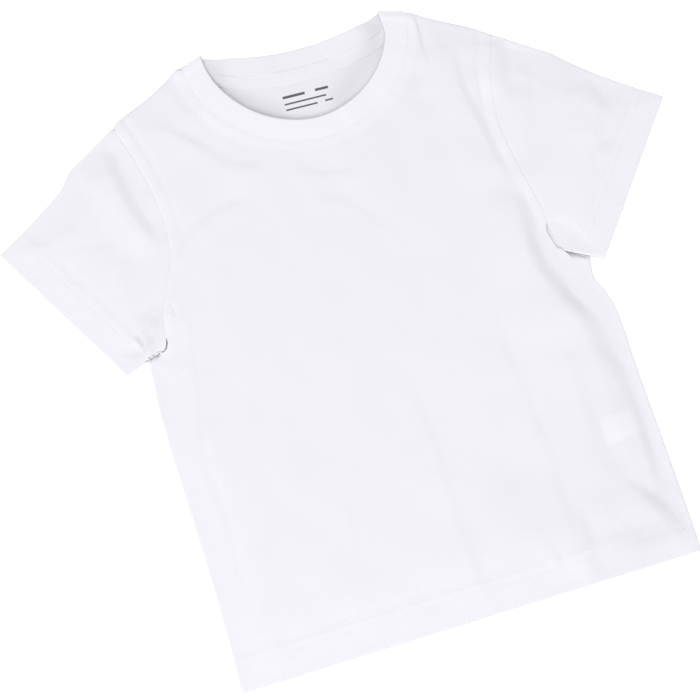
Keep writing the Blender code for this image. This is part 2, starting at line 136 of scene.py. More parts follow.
def spread(line: Array, shares: Array | list[float]) -> Array:
    """The places at these shares of a line's length, from 0 to 1."""
    run = run_of(line)
    wanted = np.asarray(shares, float) * run[-1]
    return np.stack([np.interp(wanted, run, line[:, i]) for i in range(line.shape[1])], 1)


def moved_sideways(line: Array, distance: float) -> Array:
    """A line moved to its left, seen from above."""
    along = np.gradient(line, axis=0)
    along /= np.linalg.norm(along, axis=1)[:, None]
    return line + distance * np.stack([-along[:, 1], along[:, 0]], 1)


def nearest(places: Array, line: Array) -> tuple[Array, Array, Array]:
    """Where each place lies against a line.

    Args:
        places: Places of (x, y).
        line: The line's places.

    Returns:
        The distance to the line, the share of the line's length, and the side, which is
        1 on its left and -1 on its right.
    """
    start, step = line[:-1], np.diff(line, axis=0)
    square = (step**2).sum(1)
    run = run_of(line)
    gaps, shares, sides = [], [], []
    for first in range(0, len(places), CHUNK):
        offset = places[first : first + CHUNK, None, :] - start[None]
        share = np.clip((offset * step).sum(2) / square, 0, 1)
        gap = np.linalg.norm(offset - share[..., None] * step, axis=2)
        rows = np.arange(len(gap))
        best = gap.argmin(1)
        cross = step[best, 0] * offset[rows, best, 1] - step[best, 1] * offset[rows, best, 0]
        gaps.append(gap[rows, best])
        shares.append((run[best] + share[rows, best] * np.sqrt(square[best])) / run[-1])
        sides.append(np.where(cross >= 0, 1.0, -1.0))
    if not gaps:
        return np.empty(0), np.empty(0), np.empty(0)
    return np.concatenate(gaps), np.concatenate(shares), np.concatenate(sides)


def quarter_round(share: Array) -> Array:
    """0 at share 0, rising as a quarter circle to 1 at share 1 and beyond."""
    return np.sqrt(1 - (1 - np.clip(share, 0, 1)) ** 2)


def smooth_step(share: Array) -> Array:
    """0 up to share 0, 1 from share 1, and an even S between."""
    share = np.clip(share, 0, 1)
    return share * share * (3 - 2 * share)


def bell(distance: Array, reach: float) -> Array:
    """1 at distance 0, fading out on both sides over the reach."""
    return np.exp(-((distance / reach) ** 2))


def evenly(line: Array) -> Array:
    """The same line, with its places evenly apart."""
    return spread(line, np.linspace(0, 1, round(run_of(line)[-1] / EDGE_SPACING) + 1))


def closed(outline: Array) -> Array:
    """An outline with its first place once more at its end."""
    return np.vstack([outline, outline[:1]])


def polygon_area(outline: Array) -> float:
    """The area inside a closed outline."""
    x, y = outline[:, 0], outline[:, 1]
    return float(abs(np.dot(x, np.roll(y, -1)) - np.dot(y, np.roll(x, -1))) / 2)


@dataclass(frozen=True)
class Groove:
    """A soft ridge or ditch along a line.

    Attributes:
        height: How high or deep it is.
        reach: How far to each side it fades out.
        aside: How far beside the line it lies.
    """

    height: float
    reach: float
    aside: float = 0.0

    def at(self, gap: Array) -> Array:
        """Its height at each distance from the line."""
        return self.height * bell(gap - self.aside, self.reach)


@dataclass(frozen=True)
class Unevenness:
    """A soft waviness that never repeats over the shirt.

    Attributes:
        seed: The seed of its table.
        size: The width and length of one swell.
        height: Its greatest height.
    """

    seed: int
    size: Pair
    height: float

    def at(self, places: Array) -> Array:
        """The height at each place."""
        cells = 96
        table = np.random.default_rng(self.seed).uniform(-1, 1, (cells, cells))
        at = places / np.array(self.size) + cells / 2
        cell = np.floor(at).astype(int)
        part = at - cell
        part = part**3 * (part * (6 * part - 15) + 10)
        column, row = cell[:, 0] % cells, cell[:, 1] % cells
        next_column, next_row = (column + 1) % cells, (row + 1) % cells
        low = table[column, row] * (1 - part[:, 0]) + table[next_column, row] * part[:, 0]
        high = table[column, next_row] * (1 - part[:, 0]) + table[next_column, next_row] * part[:, 0]
        return self.height * (low * (1 - part[:, 1]) + high * part[:, 1])


# -------- the pattern


@dataclass(frozen=True)
class SideShape:
    """One side of the laid shirt, with rows of (distance from the middle, height from the hem).

    Attributes:
        name: Whose side it is.
        sign: 1 on the wearer's left and -1 on the wearer's right.
        side: The side seam, from the hem up.
        underarm: Where the side seam meets the sleeve.
        armhole: The armhole seam, from the underarm up.
        shoulder: From the sleeve's seam to the collar.
        sleeve_top: The sleeve's upper fold, from the shoulder to the cuff.
        cuff_corner: The cuff's lower corner.
        slit: The share of the armhole's length that gapes at the underarm.
        slit_width: How wide it gapes.
        slit_top: The share over which it closes at its upper end.
        slit_foot: The share where it starts to open, and the share over which it does.
    """

    name: str
    sign: int
    side: Rows
    underarm: Pair
    armhole: Rows
    shoulder: Rows
    sleeve_top: Rows
    cuff_corner: Pair
    slit: float
    slit_width: float
    slit_top: float = 0.035
    slit_foot: Pair = (0.008, 0.016)

    def placed(self, rows: Rows) -> Array:
        """Rows of (distance, height) as places on this side."""
        return np.array(rows, float) * (self.sign, 1)

    def line(self, rows: Rows) -> Array:
        """A smooth line through some of its rows."""
        return smooth_line(self.placed(rows), EDGE_SPACING)

    def side_line(self) -> Array:
        """The side seam, from the hem to the underarm."""
        return self.line(self.side + (self.underarm,))

    def cuff_line(self) -> Array:
        """The cuff's edge, from its upper to its lower corner."""
        return self.placed((self.sleeve_top[-1], self.cuff_corner))

    def underarm_line(self) -> Array:
        """The sleeve's lower fold, from the armhole to the cuff."""
        return self.placed((self.armhole[0], self.cuff_corner))

    def gape(self, share: Array) -> Array:
        """How far the armhole gapes at each share of its length, from 0 to 1."""
        start, opening = self.slit_foot
        return smooth_step((self.slit - share) / self.slit_top) * smooth_step((share - start) / opening)

    def underarm_joint(self) -> Array:
        """The short edge between the side seam and the armhole seam."""
        return self.placed((self.underarm, self.armhole[0]))

    def cuff_frame(self) -> tuple[Array, Array, Array]:
        """The cuff's upper corner, the direction along the cuff and the one into the sleeve."""
        tip, corner = self.cuff_line()
        along = (corner - tip) / np.linalg.norm(corner - tip)
        inward = np.array([-along[1], along[0]]) * -self.sign
        return tip, along, inward

    def cuff_distance(self, places: Array) -> Array:
        """How far each place lies inside the cuff's edge."""
        tip, _, inward = self.cuff_frame()
        return (places - tip) @ inward


WEARERS_RIGHT = SideShape(
    name="right",
    sign=-1,
    side=((155.6, -4.7), (155.8, 30), (157.4, 80), (160.8, 140), (163.0, 190), (162.4, 212)),
    underarm=(162.2, 231.3),
    armhole=(
        (154.2, 234.8), (151.2, 234.4), (148.9, 236.2), (147.4, 240), (146.4, 246), (145.5, 253.5),
        (144.2, 261), (142.2, 268.4), (139.0, 276), (135.6, 285), (128.5, 307), (128.2, 340), (135.5, 380),
        (146.4, 414.6),
    ),
    shoulder=((146.4, 414.6), (141.0, 420.3), (123.0, 429.0), (108.0, 437.4), (87.5, 452.0)),
    sleeve_top=(
        (146.4, 414.6), (170.6, 398.4), (183.0, 390.2), (189.5, 382.0), (196.2, 373.6), (221.5, 353.9),
        (245.6, 337.6),
    ),
    cuff_corner=(178.8, 225.2),
    slit=0.085,
    slit_width=1.15,
)
WEARERS_LEFT = SideShape(
    name="left",
    sign=1,
    side=((158.9, 2.2), (159.9, 30), (160.7, 80), (161.4, 130), (162.6, 172), (160.2, 192), (155.4, 206)),
    underarm=(157.8, 222.3),
    armhole=(
        (142.0, 231.3), (139.9, 235.6), (138.6, 240.4), (137.7, 245.4), (137.0, 250.5), (136.8, 257),
        (136.9, 264), (136.3, 271), (134.8, 280), (131.2, 303), (128.2, 340), (133.5, 379), (146.4, 415.0),
    ),
    shoulder=((146.4, 415.0), (132.5, 425.5), (110.0, 438.6), (98.0, 446.5), (87.5, 452.4)),
    sleeve_top=(
        (146.4, 415.0), (171.2, 397.0), (184.2, 387.6), (196.0, 375.4), (220.0, 354.2), (252.6, 329.8),
    ),
    cuff_corner=(167.4, 217.6),
    slit=0.14,
    slit_width=2.6,
)
SIDES = (WEARERS_RIGHT, WEARERS_LEFT)


@dataclass(frozen=True)
class Hem:
    """The shirt's bottom hem and its twin rows of stitching.

    Attributes:
        middle: The height of the edge at the centre front.
        slope: How far the edge rises for each millimetre towards the wearer's left.
        depth: From the edge to the top of the turned hem.
        blend: Over how much width the turned cloth ends.
        rows: How far the rows of stitching lie from the edge.
    """

    middle: float = -1.3
    slope: float = 0.022
    depth: float = 23.0
    blend: float = 2.0
    rows: tuple[float, ...] = (21.6, 16.2)

    def y(self, x: Array) -> Array:
        """The height of the hem's edge."""
        return self.middle + self.slope * x

    def line(self, distance: float) -> Array:
        """A line across the shirt at that distance inside the hem's edge."""
        return np.array([shape.placed(shape.side)[0] for shape in SIDES]) + (0, distance)

    def turned(self, inside: Array) -> Array:
        """1 where the cloth is turned up, and 0 further inside the edge than that."""
        return 1 - smooth_step((inside - self.depth + self.blend / 2) / self.blend)


@dataclass(frozen=True)
class Neckline:
    """The collar's neck edge and its seam: superellipses in front, and shallow curves at the back.

    Attributes:
        middle_x, slope: Where its middle lies, and its rise for each millimetre to the wearer's left.
        power, back_power: How full the front's curves are, and how flat the back's are in their middle.
        edge_width, edge_top, edge_depth: The neck edge's half width, and its height and depth in front.
        seam_width, seam_top, seam_depth: The same of the seam.
        back_edge, back_seam: The heights of the back's neck edge and seam in their middle.
    """

    middle_x: float = 0.9
    slope: float = 0.012
    power: float = 1.9
    back_power: float = 2.2
    edge_width: float = 71.0
    edge_top: float = 455.3
    edge_depth: float = 74.0
    seam_width: float = 86.5
    seam_top: float = 451.0
    seam_depth: float = 86.5
    back_edge: float = 443.8
    back_seam: float = 426.3

    def _front(self, width: float, depth: float, top: float, angle: float) -> Pair:
        """A place on one of the front's superellipses."""
        cos, sin = math.cos(math.radians(angle)), max(0.0, math.sin(math.radians(angle)))
        x = width * math.copysign(abs(cos) ** (2 / self.power), cos)
        return x, top - depth * sin ** (2 / self.power)

    def edge(self, angle: float) -> Pair:
        """The front's neck edge: angle 90 is the centre front, 0 and 180 the shoulders."""
        return self._front(self.edge_width, self.edge_depth, self.edge_top, angle)

    def seam(self, angle: float) -> Pair:
        """The front's seam, by the same angles."""
        return self._front(self.seam_width, self.seam_depth, self.seam_top, angle)

    def at(self, x: float, y: float) -> Pair:
        """A place that is measured from the middle of the neckline, which lies a little askew."""
        return x + self.middle_x, y + self.slope * x

    def back_seam_y(self, x: float) -> float:
        """The back's seam at a distance from the neckline's middle."""
        share = (abs(x) / self.seam_width) ** self.back_power
        return self.back_seam + (self.seam_top - self.back_seam) * share

    def back_edge_y(self, x: float) -> float:
        """The back's neck edge at a distance from the neckline's middle."""
        share = (abs(x) / self.edge_width) ** self.back_power
        return self.back_edge + (self.edge_top - self.back_edge) * share

    def front_seam_line(self) -> Array:
        """The front's seam, from the wearer's left shoulder to the right one."""
        return evenly(np.array([self.at(*self.seam(angle)) for angle in np.linspace(0, 180, 361)]))

    def back_seam_line(self) -> Array:
        """The back's seam, from the wearer's left shoulder to the right one."""
        xs = np.linspace(self.seam_width, -self.seam_width, 181)
        return evenly(np.array([self.at(x, self.back_seam_y(x)) for x in xs]))


@dataclass(frozen=True)
class Crease:
    """A soft crease along a line: a short wall on the line, with a long gentle slope on each side.

    Attributes:
        drop: How far the wall falls towards the far side, below 0 for a rise.
        width: Half the wall's width at its start and at its end.
        line: Places that it passes.
        lean: How many times longer than the wall each gentle slope is.
        fade: The share of its length over which each end fades out.
        up: The share of the drop that stands above the cloth around it.
        sink: The depth of a narrow trough on the line itself.
        sway: How far its height varies along it, as a share.
        sway_length: The length of one such swell.
    """

    drop: float
    width: Pair
    line: Rows
    lean: float = 2.5
    fade: Pair = (0.2, 0.2)
    up: float = 0.5
    sink: float = 0.0
    sway: float = 0.18
    sway_length: float = 55.0

    def at(self, places: Array, turn: float) -> Array:
        """Its height at each place.

        Args:
            places: Places of (x, y).
            turn: Where its sway starts, in swells.

        Returns:
            A height for each place.
        """
        line = smooth_line(self.line, CREASE_SPACING)
        reach = (1 + 2 * self.lean) * max(self.width)
        near = ((places > line.min(0) - reach) & (places < line.max(0) + reach)).all(1)
        total = np.zeros(len(places))
        gap, share, side = nearest(places[near], line)
        width = self.width[0] + (self.width[1] - self.width[0]) * share
        chord = line[-1] - line[0]
        far = 1.0 if FAR_SIDE[1] * chord[0] > FAR_SIDE[0] * chord[1] else -1.0
        across = side * far * gap / width
        wall = smooth_step((across + 1) / 2)
        rise = smooth_step((across + 1) / (2 * self.lean) + 1)
        fall = 1 - smooth_step((across - 1) / (2 * self.lean))
        height = self.drop * (self.up * rise * (1 - wall) - (1 - self.up) * wall * fall)
        height -= self.sink * bell(across, 1.0)
        start, stop = (max(fade, LEAST_FADE) for fade in self.fade)
        ends = smooth_step(share / start) * smooth_step((1 - share) / stop)
        uneven = 1 + self.sway * np.sin(math.tau * (share * run_of(line)[-1] / self.sway_length + turn))
        total[near] = height * ends * uneven
        return total


@dataclass(frozen=True)
class PaintedShade:
    """A band of painted shade, in which the cloth's colour is darkened where shade falls in a hollow.

    Attributes:
        line: Places that it passes.
        reach: How far from the line it fades out.
        depth: How much the painted shade darkens the cloth on the line, from 0 to 1.
    """

    line: Rows
    reach: float
    depth: float

    def at(self, places: Array) -> Array:
        """How much the painted shade darkens the cloth at each place."""
        return self.depth * bell(nearest(places, smooth_line(self.line, PAINTED_SHADE_SPACING))[0], self.reach)


def painted_shade_at(places: Array, hollows: tuple[PaintedShade, ...]) -> Array:
    """How much painted shade darkens the cloth at each place, in all these bands together."""
    return np.sum([hollow.at(places[:, :2]) for hollow in hollows], axis=0)


TOP_CREASES = (
    # From the wearer's left shoulder past the armhole and down that side.
    Crease(
        1.9, (3.6, 4.2),
        ((117, 418), (113.8, 400), (111, 383), (113.3, 363), (116, 343), (118, 317), (121, 292)),
        lean=4.0,
    ),
    Crease(
        4.3, (5.5, 12.5),
        (
            (121, 292), (123.5, 267), (122, 247), (123.5, 225), (129, 205), (137, 186), (143, 164),
            (147, 142), (150, 122),
        ),
        lean=3.0, fade=(0.14, 0.42),
    ),
    Crease(
        2.4, (9.0, 3.4),
        ((141, 174), (146, 146), (149, 130), (150, 112), (149, 82), (146, 46)),
        lean=3.0, fade=(0.35, 0.12), up=0.6,
    ),
    Crease(
        1.0, (1.0, 1.5),
        ((94.8, 449), (94.4, 436), (93.3, 424), (92.4, 413), (91.6, 398)),
        lean=3.0, fade=(0.05, 0.4), sink=0.2,
    ),
    Crease(1.0, (7.0, 7.0), ((69, 399), (76, 390), (84, 380)), lean=1.5, fade=(0.4, 0.4)),
    Crease(
        0.6, (1.4, 1.6),
        ((127, 392), (123.8, 380), (121.7, 369), (120.6, 360), (120, 350)),
        fade=(0.35, 0.35),
    ),
    # Long soft creases down the body.
    Crease(
        0.57, (2.6, 3.0),
        (
            (-122, 286), (-124, 266), (-130, 237), (-134, 208), (-140, 172), (-143, 144), (-140, 122),
            (-139, 97), (-139, 69), (-136, 40),
        ),
        lean=4.0,
    ),
    Crease(
        0.6, (3.4, 4.4),
        ((-2, 190), (4, 168), (8, 150), (11, 128), (11, 100), (11, 72), (12, 43), (14, 10)),
        lean=3.5, fade=(0.4, 0.1),
    ),
    Crease(
        0.5, (2.8, 3.2),
        ((81, 240), (79, 205), (78, 175), (80, 140), (83, 101), (82, 66), (82, 37), (84, -2)),
        lean=3.5, fade=(0.35, 0.02),
    ),
    Crease(0.2, (1.4, 1.8), ((-66, 112), (-60, 98), (-58, 84), (-60, 64), (-62, 42))),
    Crease(1.5, (4.4, 5.2), ((122, 64), (134, 50), (144, 37), (158, 18)), lean=2.0, fade=(0.2, 0.05)),
    Crease(0.7, (4.4, 4.4), ((116, 172), (119, 140), (118, 100), (119, 58))),
    Crease(
        1.8, (6.0, 8.0),
        ((92, 26), (112, 21), (134, 19), (158, 18)),
        lean=1.2, fade=(0.5, 0.02), up=0.6,
    ),
    Crease(0.9, (4.0, 4.0), ((88, 54), (90, 36), (88, 18), (88, 3)), lean=1.5, fade=(0.35, 0.02)),
    Crease(0.5, (2.6, 2.6), ((64, 36), (66, 22), (65, 6)), lean=1.5, fade=(0.4, 0.02)),
    # Drag lines under the collar and across the chest.
    Crease(
        0.95, (3.8, 4.4),
        ((-123, 414), (-109, 404), (-97, 392), (-85, 380), (-74, 366), (-61, 358), (-40, 354)),
    ),
    Crease(0.45, (3.2, 3.2), ((-30, 346), (-21, 343), (-6, 336), (12, 333), (26, 335))),
    Crease(0.42, (3.0, 3.4), ((-16, 321), (2, 311), (10, 301), (17, 292), (21, 280))),
    Crease(
        0.75, (3.6, 4.0),
        ((-134, 292), (-121, 308), (-107, 320), (-94, 328), (-80, 331), (-60, 331)),
        sink=0.35,
    ),
    # Small drags round the wearer's right underarm.
    Crease(
        0.0, (1.2, 1.3),
        ((-139, 270), (-136.5, 264), (-136.5, 256), (-140, 250)),
        fade=(0.3, 0.5), sink=0.3,
    ),
    Crease(0.9, (4.2, 3.8), ((-165, 266), (-156, 259), (-148, 255)), lean=2.4, fade=(0.35, 0.1)),
    Crease(0.9, (4.0, 4.0), ((-176, 254), (-166, 248), (-155, 243)), lean=2.2, fade=(0.35, 0.1)),
    Crease(0.7, (3.4, 3.4), ((-183, 242), (-173, 237), (-161, 236)), lean=1.8, fade=(0.3, 0.1)),
    Crease(0.0, (1.5, 1.7), ((-148.4, 264.6), (-155.2, 256.2), (-162, 249)), fade=(0.2, 0.3), sink=0.65),
    Crease(0.0, (1.7, 2.4), ((-152, 252), (-162, 241.5), (-174, 231)), fade=(0.2, 0.4), sink=0.55),
    Crease(0.8, (1.6, 1.6), ((-167.5, 250), (-165, 245), (-162, 238)), lean=1.2, fade=(0.3, 0.3)),
    # The sleeve on the wearer's right.
    Crease(
        2.6, (6.2, 4.6),
        ((-158, 403), (-154, 390), (-151.8, 376), (-148.5, 354), (-142.6, 336), (-138, 320), (-135, 306)),
        fade=(0.12, 0.3),
    ),
    Crease(-0.5, (6.0, 6.0), ((-181, 388), (-171, 365), (-160, 345), (-152, 318), (-148, 300)), lean=2.0),
    Crease(0.42, (4.0, 4.4), ((-226, 344), (-210, 335), (-198, 340), (-186, 343))),
    Crease(0.32, (3.0, 3.6), ((-214, 327), (-194, 325), (-176, 323), (-162, 326))),
    Crease(0.18, (3.0, 3.4), ((-208, 306), (-190, 296), (-172, 292))),
    # The sleeve on the wearer's left.
    Crease(
        2.8, (7.0, 7.0),
        ((153, 411), (150, 396), (146, 382), (141.5, 368), (138, 354)),
        fade=(0.2, 0.4), sink=0.3,
    ),
    Crease(0.9, (4.0, 4.4), ((166, 384), (163, 373), (153, 345), (145, 321), (142, 308))),
    Crease(1.3, (5.0, 5.4), ((201, 362), (203, 353), (206, 339), (208, 328), (199, 317), (188, 300))),
    Crease(0.0, (3.0, 3.4), ((233, 343), (218, 327), (204, 310), (191, 301), (179, 278)), sink=0.8),
)

# The back's inside at the neck, which lies in a soft fold beside each shoulder.
NECK_FOLDS = (
    Crease(
        2.0, (6.4, 7.4),
        ((66, 466), (60, 449), (57, 437), (54, 427), (50, 418), (43, 410)),
        lean=4.0, fade=(0.01, 0.6), up=1.0,
    ),
    Crease(
        1.2, (5.6, 6.4),
        ((-61, 431), (-57, 424), (-51, 416), (-45, 408), (-38, 401)),
        lean=1.6, fade=(0.25, 0.3), up=1.0,
    ),
)

# The under layer's, which rise into the shirt as hollows on its underside.
UNDER_CREASES = tuple(
    Crease(drop, width, line, lean=1.5, up=0.0)
    for drop, width, line in (
        (-0.6, (5.0, 6.0), ((-120, 404), (-96, 376), (-70, 352), (-44, 344))),
        (-0.55, (5.0, 5.0), ((112, 410), (108, 370), (114, 320), (122, 270))),
        (-0.6, (6.0, 8.0), ((126, 240), (138, 190), (146, 140), (150, 84))),
        (-0.5, (5.0, 6.0), ((-130, 250), (-138, 196), (-136, 130), (-130, 70))),
        (-0.45, (6.0, 5.0), ((12, 220), (20, 160), (14, 90), (20, 30))),
        (-0.4, (5.0, 5.0), ((-60, 300), (-30, 282), (10, 286))),
        (-0.4, (5.0, 5.0), ((66, 200), (72, 140), (68, 70))),
        (-0.5, (5.0, 5.0), ((-206, 344), (-184, 318), (-166, 288))),
        (-0.5, (4.0, 5.0), ((-160, 390), (-150, 356), (-142, 322))),
        (-0.5, (5.0, 5.0), ((206, 344), (188, 312), (172, 280))),
        (-0.45, (4.0, 5.0), ((160, 392), (150, 356), (144, 318))),
    )
)

# Painted shade on the crumpled underarm on the wearer's right, and a broad painted darkening of the cloth
# above the hem on the wearer's left, where less light falls.
TOP_PAINTED_SHADE = (
    PaintedShade(((-152, 256), (-160, 244), (-172, 234), (-182, 228)), 9.0, 0.55),
    PaintedShade(((92, 8), (124, 18), (140, 34)), 19.0, 0.4),
    PaintedShade(((120, 4), (150, 10)), 13.0, 0.3),
    PaintedShade(((50, 66), (90, 44), (122, 74), (128, 112)), 26.0, 0.2),
)

# Painted shade inside the neck, along the collar's front edge, where the collar shades the back.
NECK_PAINTED_SHADE = (
    PaintedShade(((69, 456), (62.8, 443), (55, 428), (43, 416), (33, 406), (22, 396)), 9.0, 0.75),
    PaintedShade(((-69, 452), (-65, 439), (-60, 425), (-50, 413), (-40, 405), (-28, 396)), 8.0, 0.85),
)

TOP_UNEVENNESS = (
    Unevenness(11, (30.0, 52.0), 0.34),
    Unevenness(23, (13.0, 21.0), 0.13),
    Unevenness(37, (5.5, 7.5), 0.035),
)
EDGE_WAVE = Unevenness(83, (17.0, 23.0), 0.22)
PUCKER = Unevenness(51, (4.2, 4.2), 1.0)
RIPPLE = Unevenness(67, (5.0, 5.0), 1.0)
TAPE_SWELL = Unevenness(91, (9.0, 30.0), 0.06)


@dataclass(frozen=True)
class LabelPlace:
    """Where the care label lies under the front, and the patch that it presses up.

    Attributes:
        corners: The patch's corners, in turn.
        rise: How far it is lifted.
        softness: Half the width of its sloping edge.
    """

    corners: Rows = ((123.8, 86.9), (149.6, 91.1), (149.6, 107.4), (124.7, 105.8))
    rise: float = 0.35
    softness: float = 1.3

    def at(self, places: Array) -> Array:
        """How far it lifts the front at each place."""
        corners = np.array(self.corners)
        inside = np.full(len(places), np.inf)
        for start, end in zip(corners, np.roll(corners, -1, axis=0)):
            along = (end - start) / np.linalg.norm(end - start)
            inside = np.minimum(inside, (places - start) @ np.array([-along[1], along[0]]))
        return self.rise * smooth_step((inside + self.softness) / (2 * self.softness))


@dataclass
class Relief:
    """The heights of the laid shirt's two layers, each at its outer face.

    Attributes:
        neckline, hem, label: The edges of the collar and the hem, and where the care label lies.
        fold_edge, under_edge: The top and the under layer's height at a folded or seamed edge.
        turn, turn_radius: How far the top layer rises in the turn at that edge, and how far inwards.
        loft, loft_width: How much higher it lies away from the edge, and how far inwards that takes.
        hem_edge, hem_turn: The top layer's height at a hemmed edge, and the height of the rounding there.
        hem_loft, hem_loft_width: How much higher it lies away from that edge, and how far inwards that takes.
        hem_rise, hem_rise_blend: How far the turned hem lifts it, and where and how softly that ends.
        hem_ditch, row_ditch: The dip beyond the turned hem, and the one under a row of stitching.
        puckers: The small puckers beside the outer and the inner row.
        least, least_blend: The least height, and how softly a deep crease settles on it.
        label_clearance: How much of the label's lift is added to that height.
        crease_reach: How far inside a fold and a hemmed edge the creases come to their full height.
        crease_share: The share of that height at a hemmed edge.
        seam_ditch, seam_ripple: The ditch on the armhole's seam, and the ripple along it.
        slit_puff: How the cloth puffs up beside the armhole's gaping lower end.
        slit_fade: The share of the armhole over which its allowance begins.
        armhole_band, armhole_ditch: Its width at the shoulder and underarm, and the dip beyond it.
        band_rise, band_edge: How far an allowance lifts the cloth, and over how much width that falls off.
        neck_band, neck_band_rise, neck_ditch: The collar seam's allowance, its lift and the dip beyond it.
        neck_seam_ditch, neck_ripple: The ditch on the collar's seam, and the ripple along it.
        neck_drop, neck_reach: How much lower the front lies at that seam, and how far from it that reaches.
        shoulder_rise: How much fuller the right and the left shoulder are behind their fold.
        shoulder_reach: Over how much width that rises, and where it has gone.
        corner_rise, corner_reach, corner_core: How much thicker the shirt is at the collar's two corners, how
            far from a corner's core that reaches, and the core's radius.
        corner_split: The share of that thickness below the fold.
        corner_lift, corner_lift_reach: How far the back is held up there, and how far that reaches.
        under_row, under_armhole, under_neck: How far sewing draws the under layer in.
        whiteness: How white doubled cloth looks at a hem, beside the armhole and over the label.
    """

    neckline: Neckline = field(default_factory=Neckline)
    hem: Hem = field(default_factory=Hem)
    label: LabelPlace = field(default_factory=LabelPlace)
    fold_edge: float = 1.4
    under_edge: float = 1.15
    turn: float = 1.15
    turn_radius: float = 0.9
    loft: float = 3.3
    loft_width: float = 45.0
    hem_edge: float = 2.25
    hem_turn: float = 0.45
    hem_loft: float = 2.0
    hem_loft_width: float = 45.0
    hem_rise: float = 0.16
    hem_rise_blend: Pair = (1.6, 4.0)
    hem_ditch: Groove = Groove(0.10, 2.0, 2.0)
    row_ditch: Groove = Groove(0.06, 0.9)
    puckers: tuple[Groove, Groove] = (Groove(0.06, 3.4, 0.5), Groove(0.03, 3.0))
    least: float = 2.15
    least_blend: float = 0.25
    label_clearance: float = 0.8
    crease_reach: Pair = (8.0, 20.0)
    crease_share: float = 0.45
    seam_ditch: Groove = Groove(0.22, 0.7)
    seam_ripple: Groove = Groove(0.10, 6.0)
    slit_puff: Groove = Groove(0.5, 6.0)
    slit_fade: float = 0.14
    armhole_band: Pair = (7.6, 5.4)
    armhole_ditch: Groove = Groove(0.6, 2.4, 2.4)
    band_rise: float = 0.16
    band_edge: float = 4.0
    neck_band: float = 7.0
    neck_band_rise: float = 0.06
    neck_ditch: Groove = Groove(0.4, 3.0, 4.0)
    neck_seam_ditch: Groove = Groove(0.02, 0.7)
    neck_ripple: Groove = Groove(0.10, 5.0, 4.0)
    neck_drop: float = 1.2
    neck_reach: float = 36.0
    shoulder_rise: Pair = (1.3, 1.0)
    shoulder_reach: Pair = (4.5, 36.0)
    corner_rise: float = 1.0
    corner_reach: float = 15.0
    corner_core: float = 3.0
    corner_split: float = 0.45
    corner_lift: float = 1.2
    corner_lift_reach: float = 34.0
    under_row: Groove = Groove(0.3, 0.8)
    under_armhole: Groove = Groove(0.5, 1.3)
    under_neck: Groove = Groove(0.3, 1.0)
    whiteness: tuple[float, float, float] = (0.3, 0.5, 0.8)

    def _from_folds(self, places: Array) -> Array:
        """How far each place is from where the cloth turns under: sides, shoulders and sleeves."""
        lines = []
        for shape in SIDES:
            lines += [shape.side_line(), shape.underarm_joint(), shape.line(shape.shoulder)]
            lines += [shape.line(shape.sleeve_top), shape.underarm_line()]
        return np.min([nearest(places, line)[0] for line in lines], axis=0)

    def _from_open_edges(self, places: Array) -> Array:
        """How far each place is from the nearest of the three open edges."""
        lines = [self.hem.line(0.0)] + [shape.cuff_line() for shape in SIDES]
        return np.min([nearest(places, line)[0] for line in lines], axis=0)

    def _inside_hems(self, places: Array) -> Array:
        """How far inside a hemmed edge each place lies, measured square to that edge."""
        inside = places[:, 1] - self.hem.y(places[:, 0])
        for shape in SIDES:
            beside = shape.sign * places[:, 0] > shape.armhole[0][0] - SLEEVE_MARGIN
            on_sleeve = beside & (places[:, 1] > SLEEVE_FOOT)
            inside = np.where(on_sleeve, shape.cuff_distance(places), inside)
        return inside

    def _armhole_width(self, share: Array) -> Array:
        """The width of the armhole seam's allowance at each share of its length."""
        return self.armhole_band[1] + (self.armhole_band[0] - self.armhole_band[1]) * share

    def _from_ends(self, places: Array, width: float, top: float) -> list[Array]:
        """How far each place is from the right and from the left end of one of the collar's edges."""
        ends = [np.array(self.neckline.at(x, top)) for x in (-width, width)]
        return [np.linalg.norm(places - end, axis=1) for end in ends]

    def hem_relief(self, places: Array) -> Array:
        """The turned hem's lift, its rows of stitching and the small puckers between them."""
        inside = self._inside_hems(places)
        beyond = inside - self.hem.depth
        start, width = self.hem_rise_blend
        total = self.hem_rise * (1 - smooth_step((beyond + start) / width)) - self.hem_ditch.at(beyond)
        pucker = PUCKER.at(places)
        for row, puckers in zip(self.hem.rows, self.puckers):
            total += pucker * puckers.at(inside - row) - self.row_ditch.at(inside - row)
        return total

    def seam_relief(self, places: Array) -> Array:
        """The armhole and collar seams: a ditch on each, and the band that its allowance lifts."""
        total = np.zeros(len(places))
        ripple = RIPPLE.at(places)
        for shape in SIDES:
            gap, share, side = nearest(places, shape.line(shape.armhole))
            width = self._armhole_width(share)
            band = self.band_rise * smooth_step((width - gap) / self.band_edge + 0.5)
            band -= share**2 * self.armhole_ditch.at(gap - width)
            band *= smooth_step(share / self.slit_fade)
            gape = shape.gape(share)
            ditch = self.seam_ditch.at(gap) * (1 - gape) - self.slit_puff.at(gap) * gape
            total += np.where(side * shape.sign > 0, band, 0.0) - ditch + ripple * self.seam_ripple.at(gap)
        gap, share, side = nearest(places, self.neckline.front_seam_line())
        band = self.neck_band_rise * smooth_step((self.neck_band - gap) / self.band_edge + 0.5)
        band -= self.neck_ditch.at(gap - self.neck_band) * np.abs(2 * share - 1)
        total += np.where(side > 0, band, 0.0) - self.neck_seam_ditch.at(gap)
        return total + ripple * self.neck_ripple.at(gap)

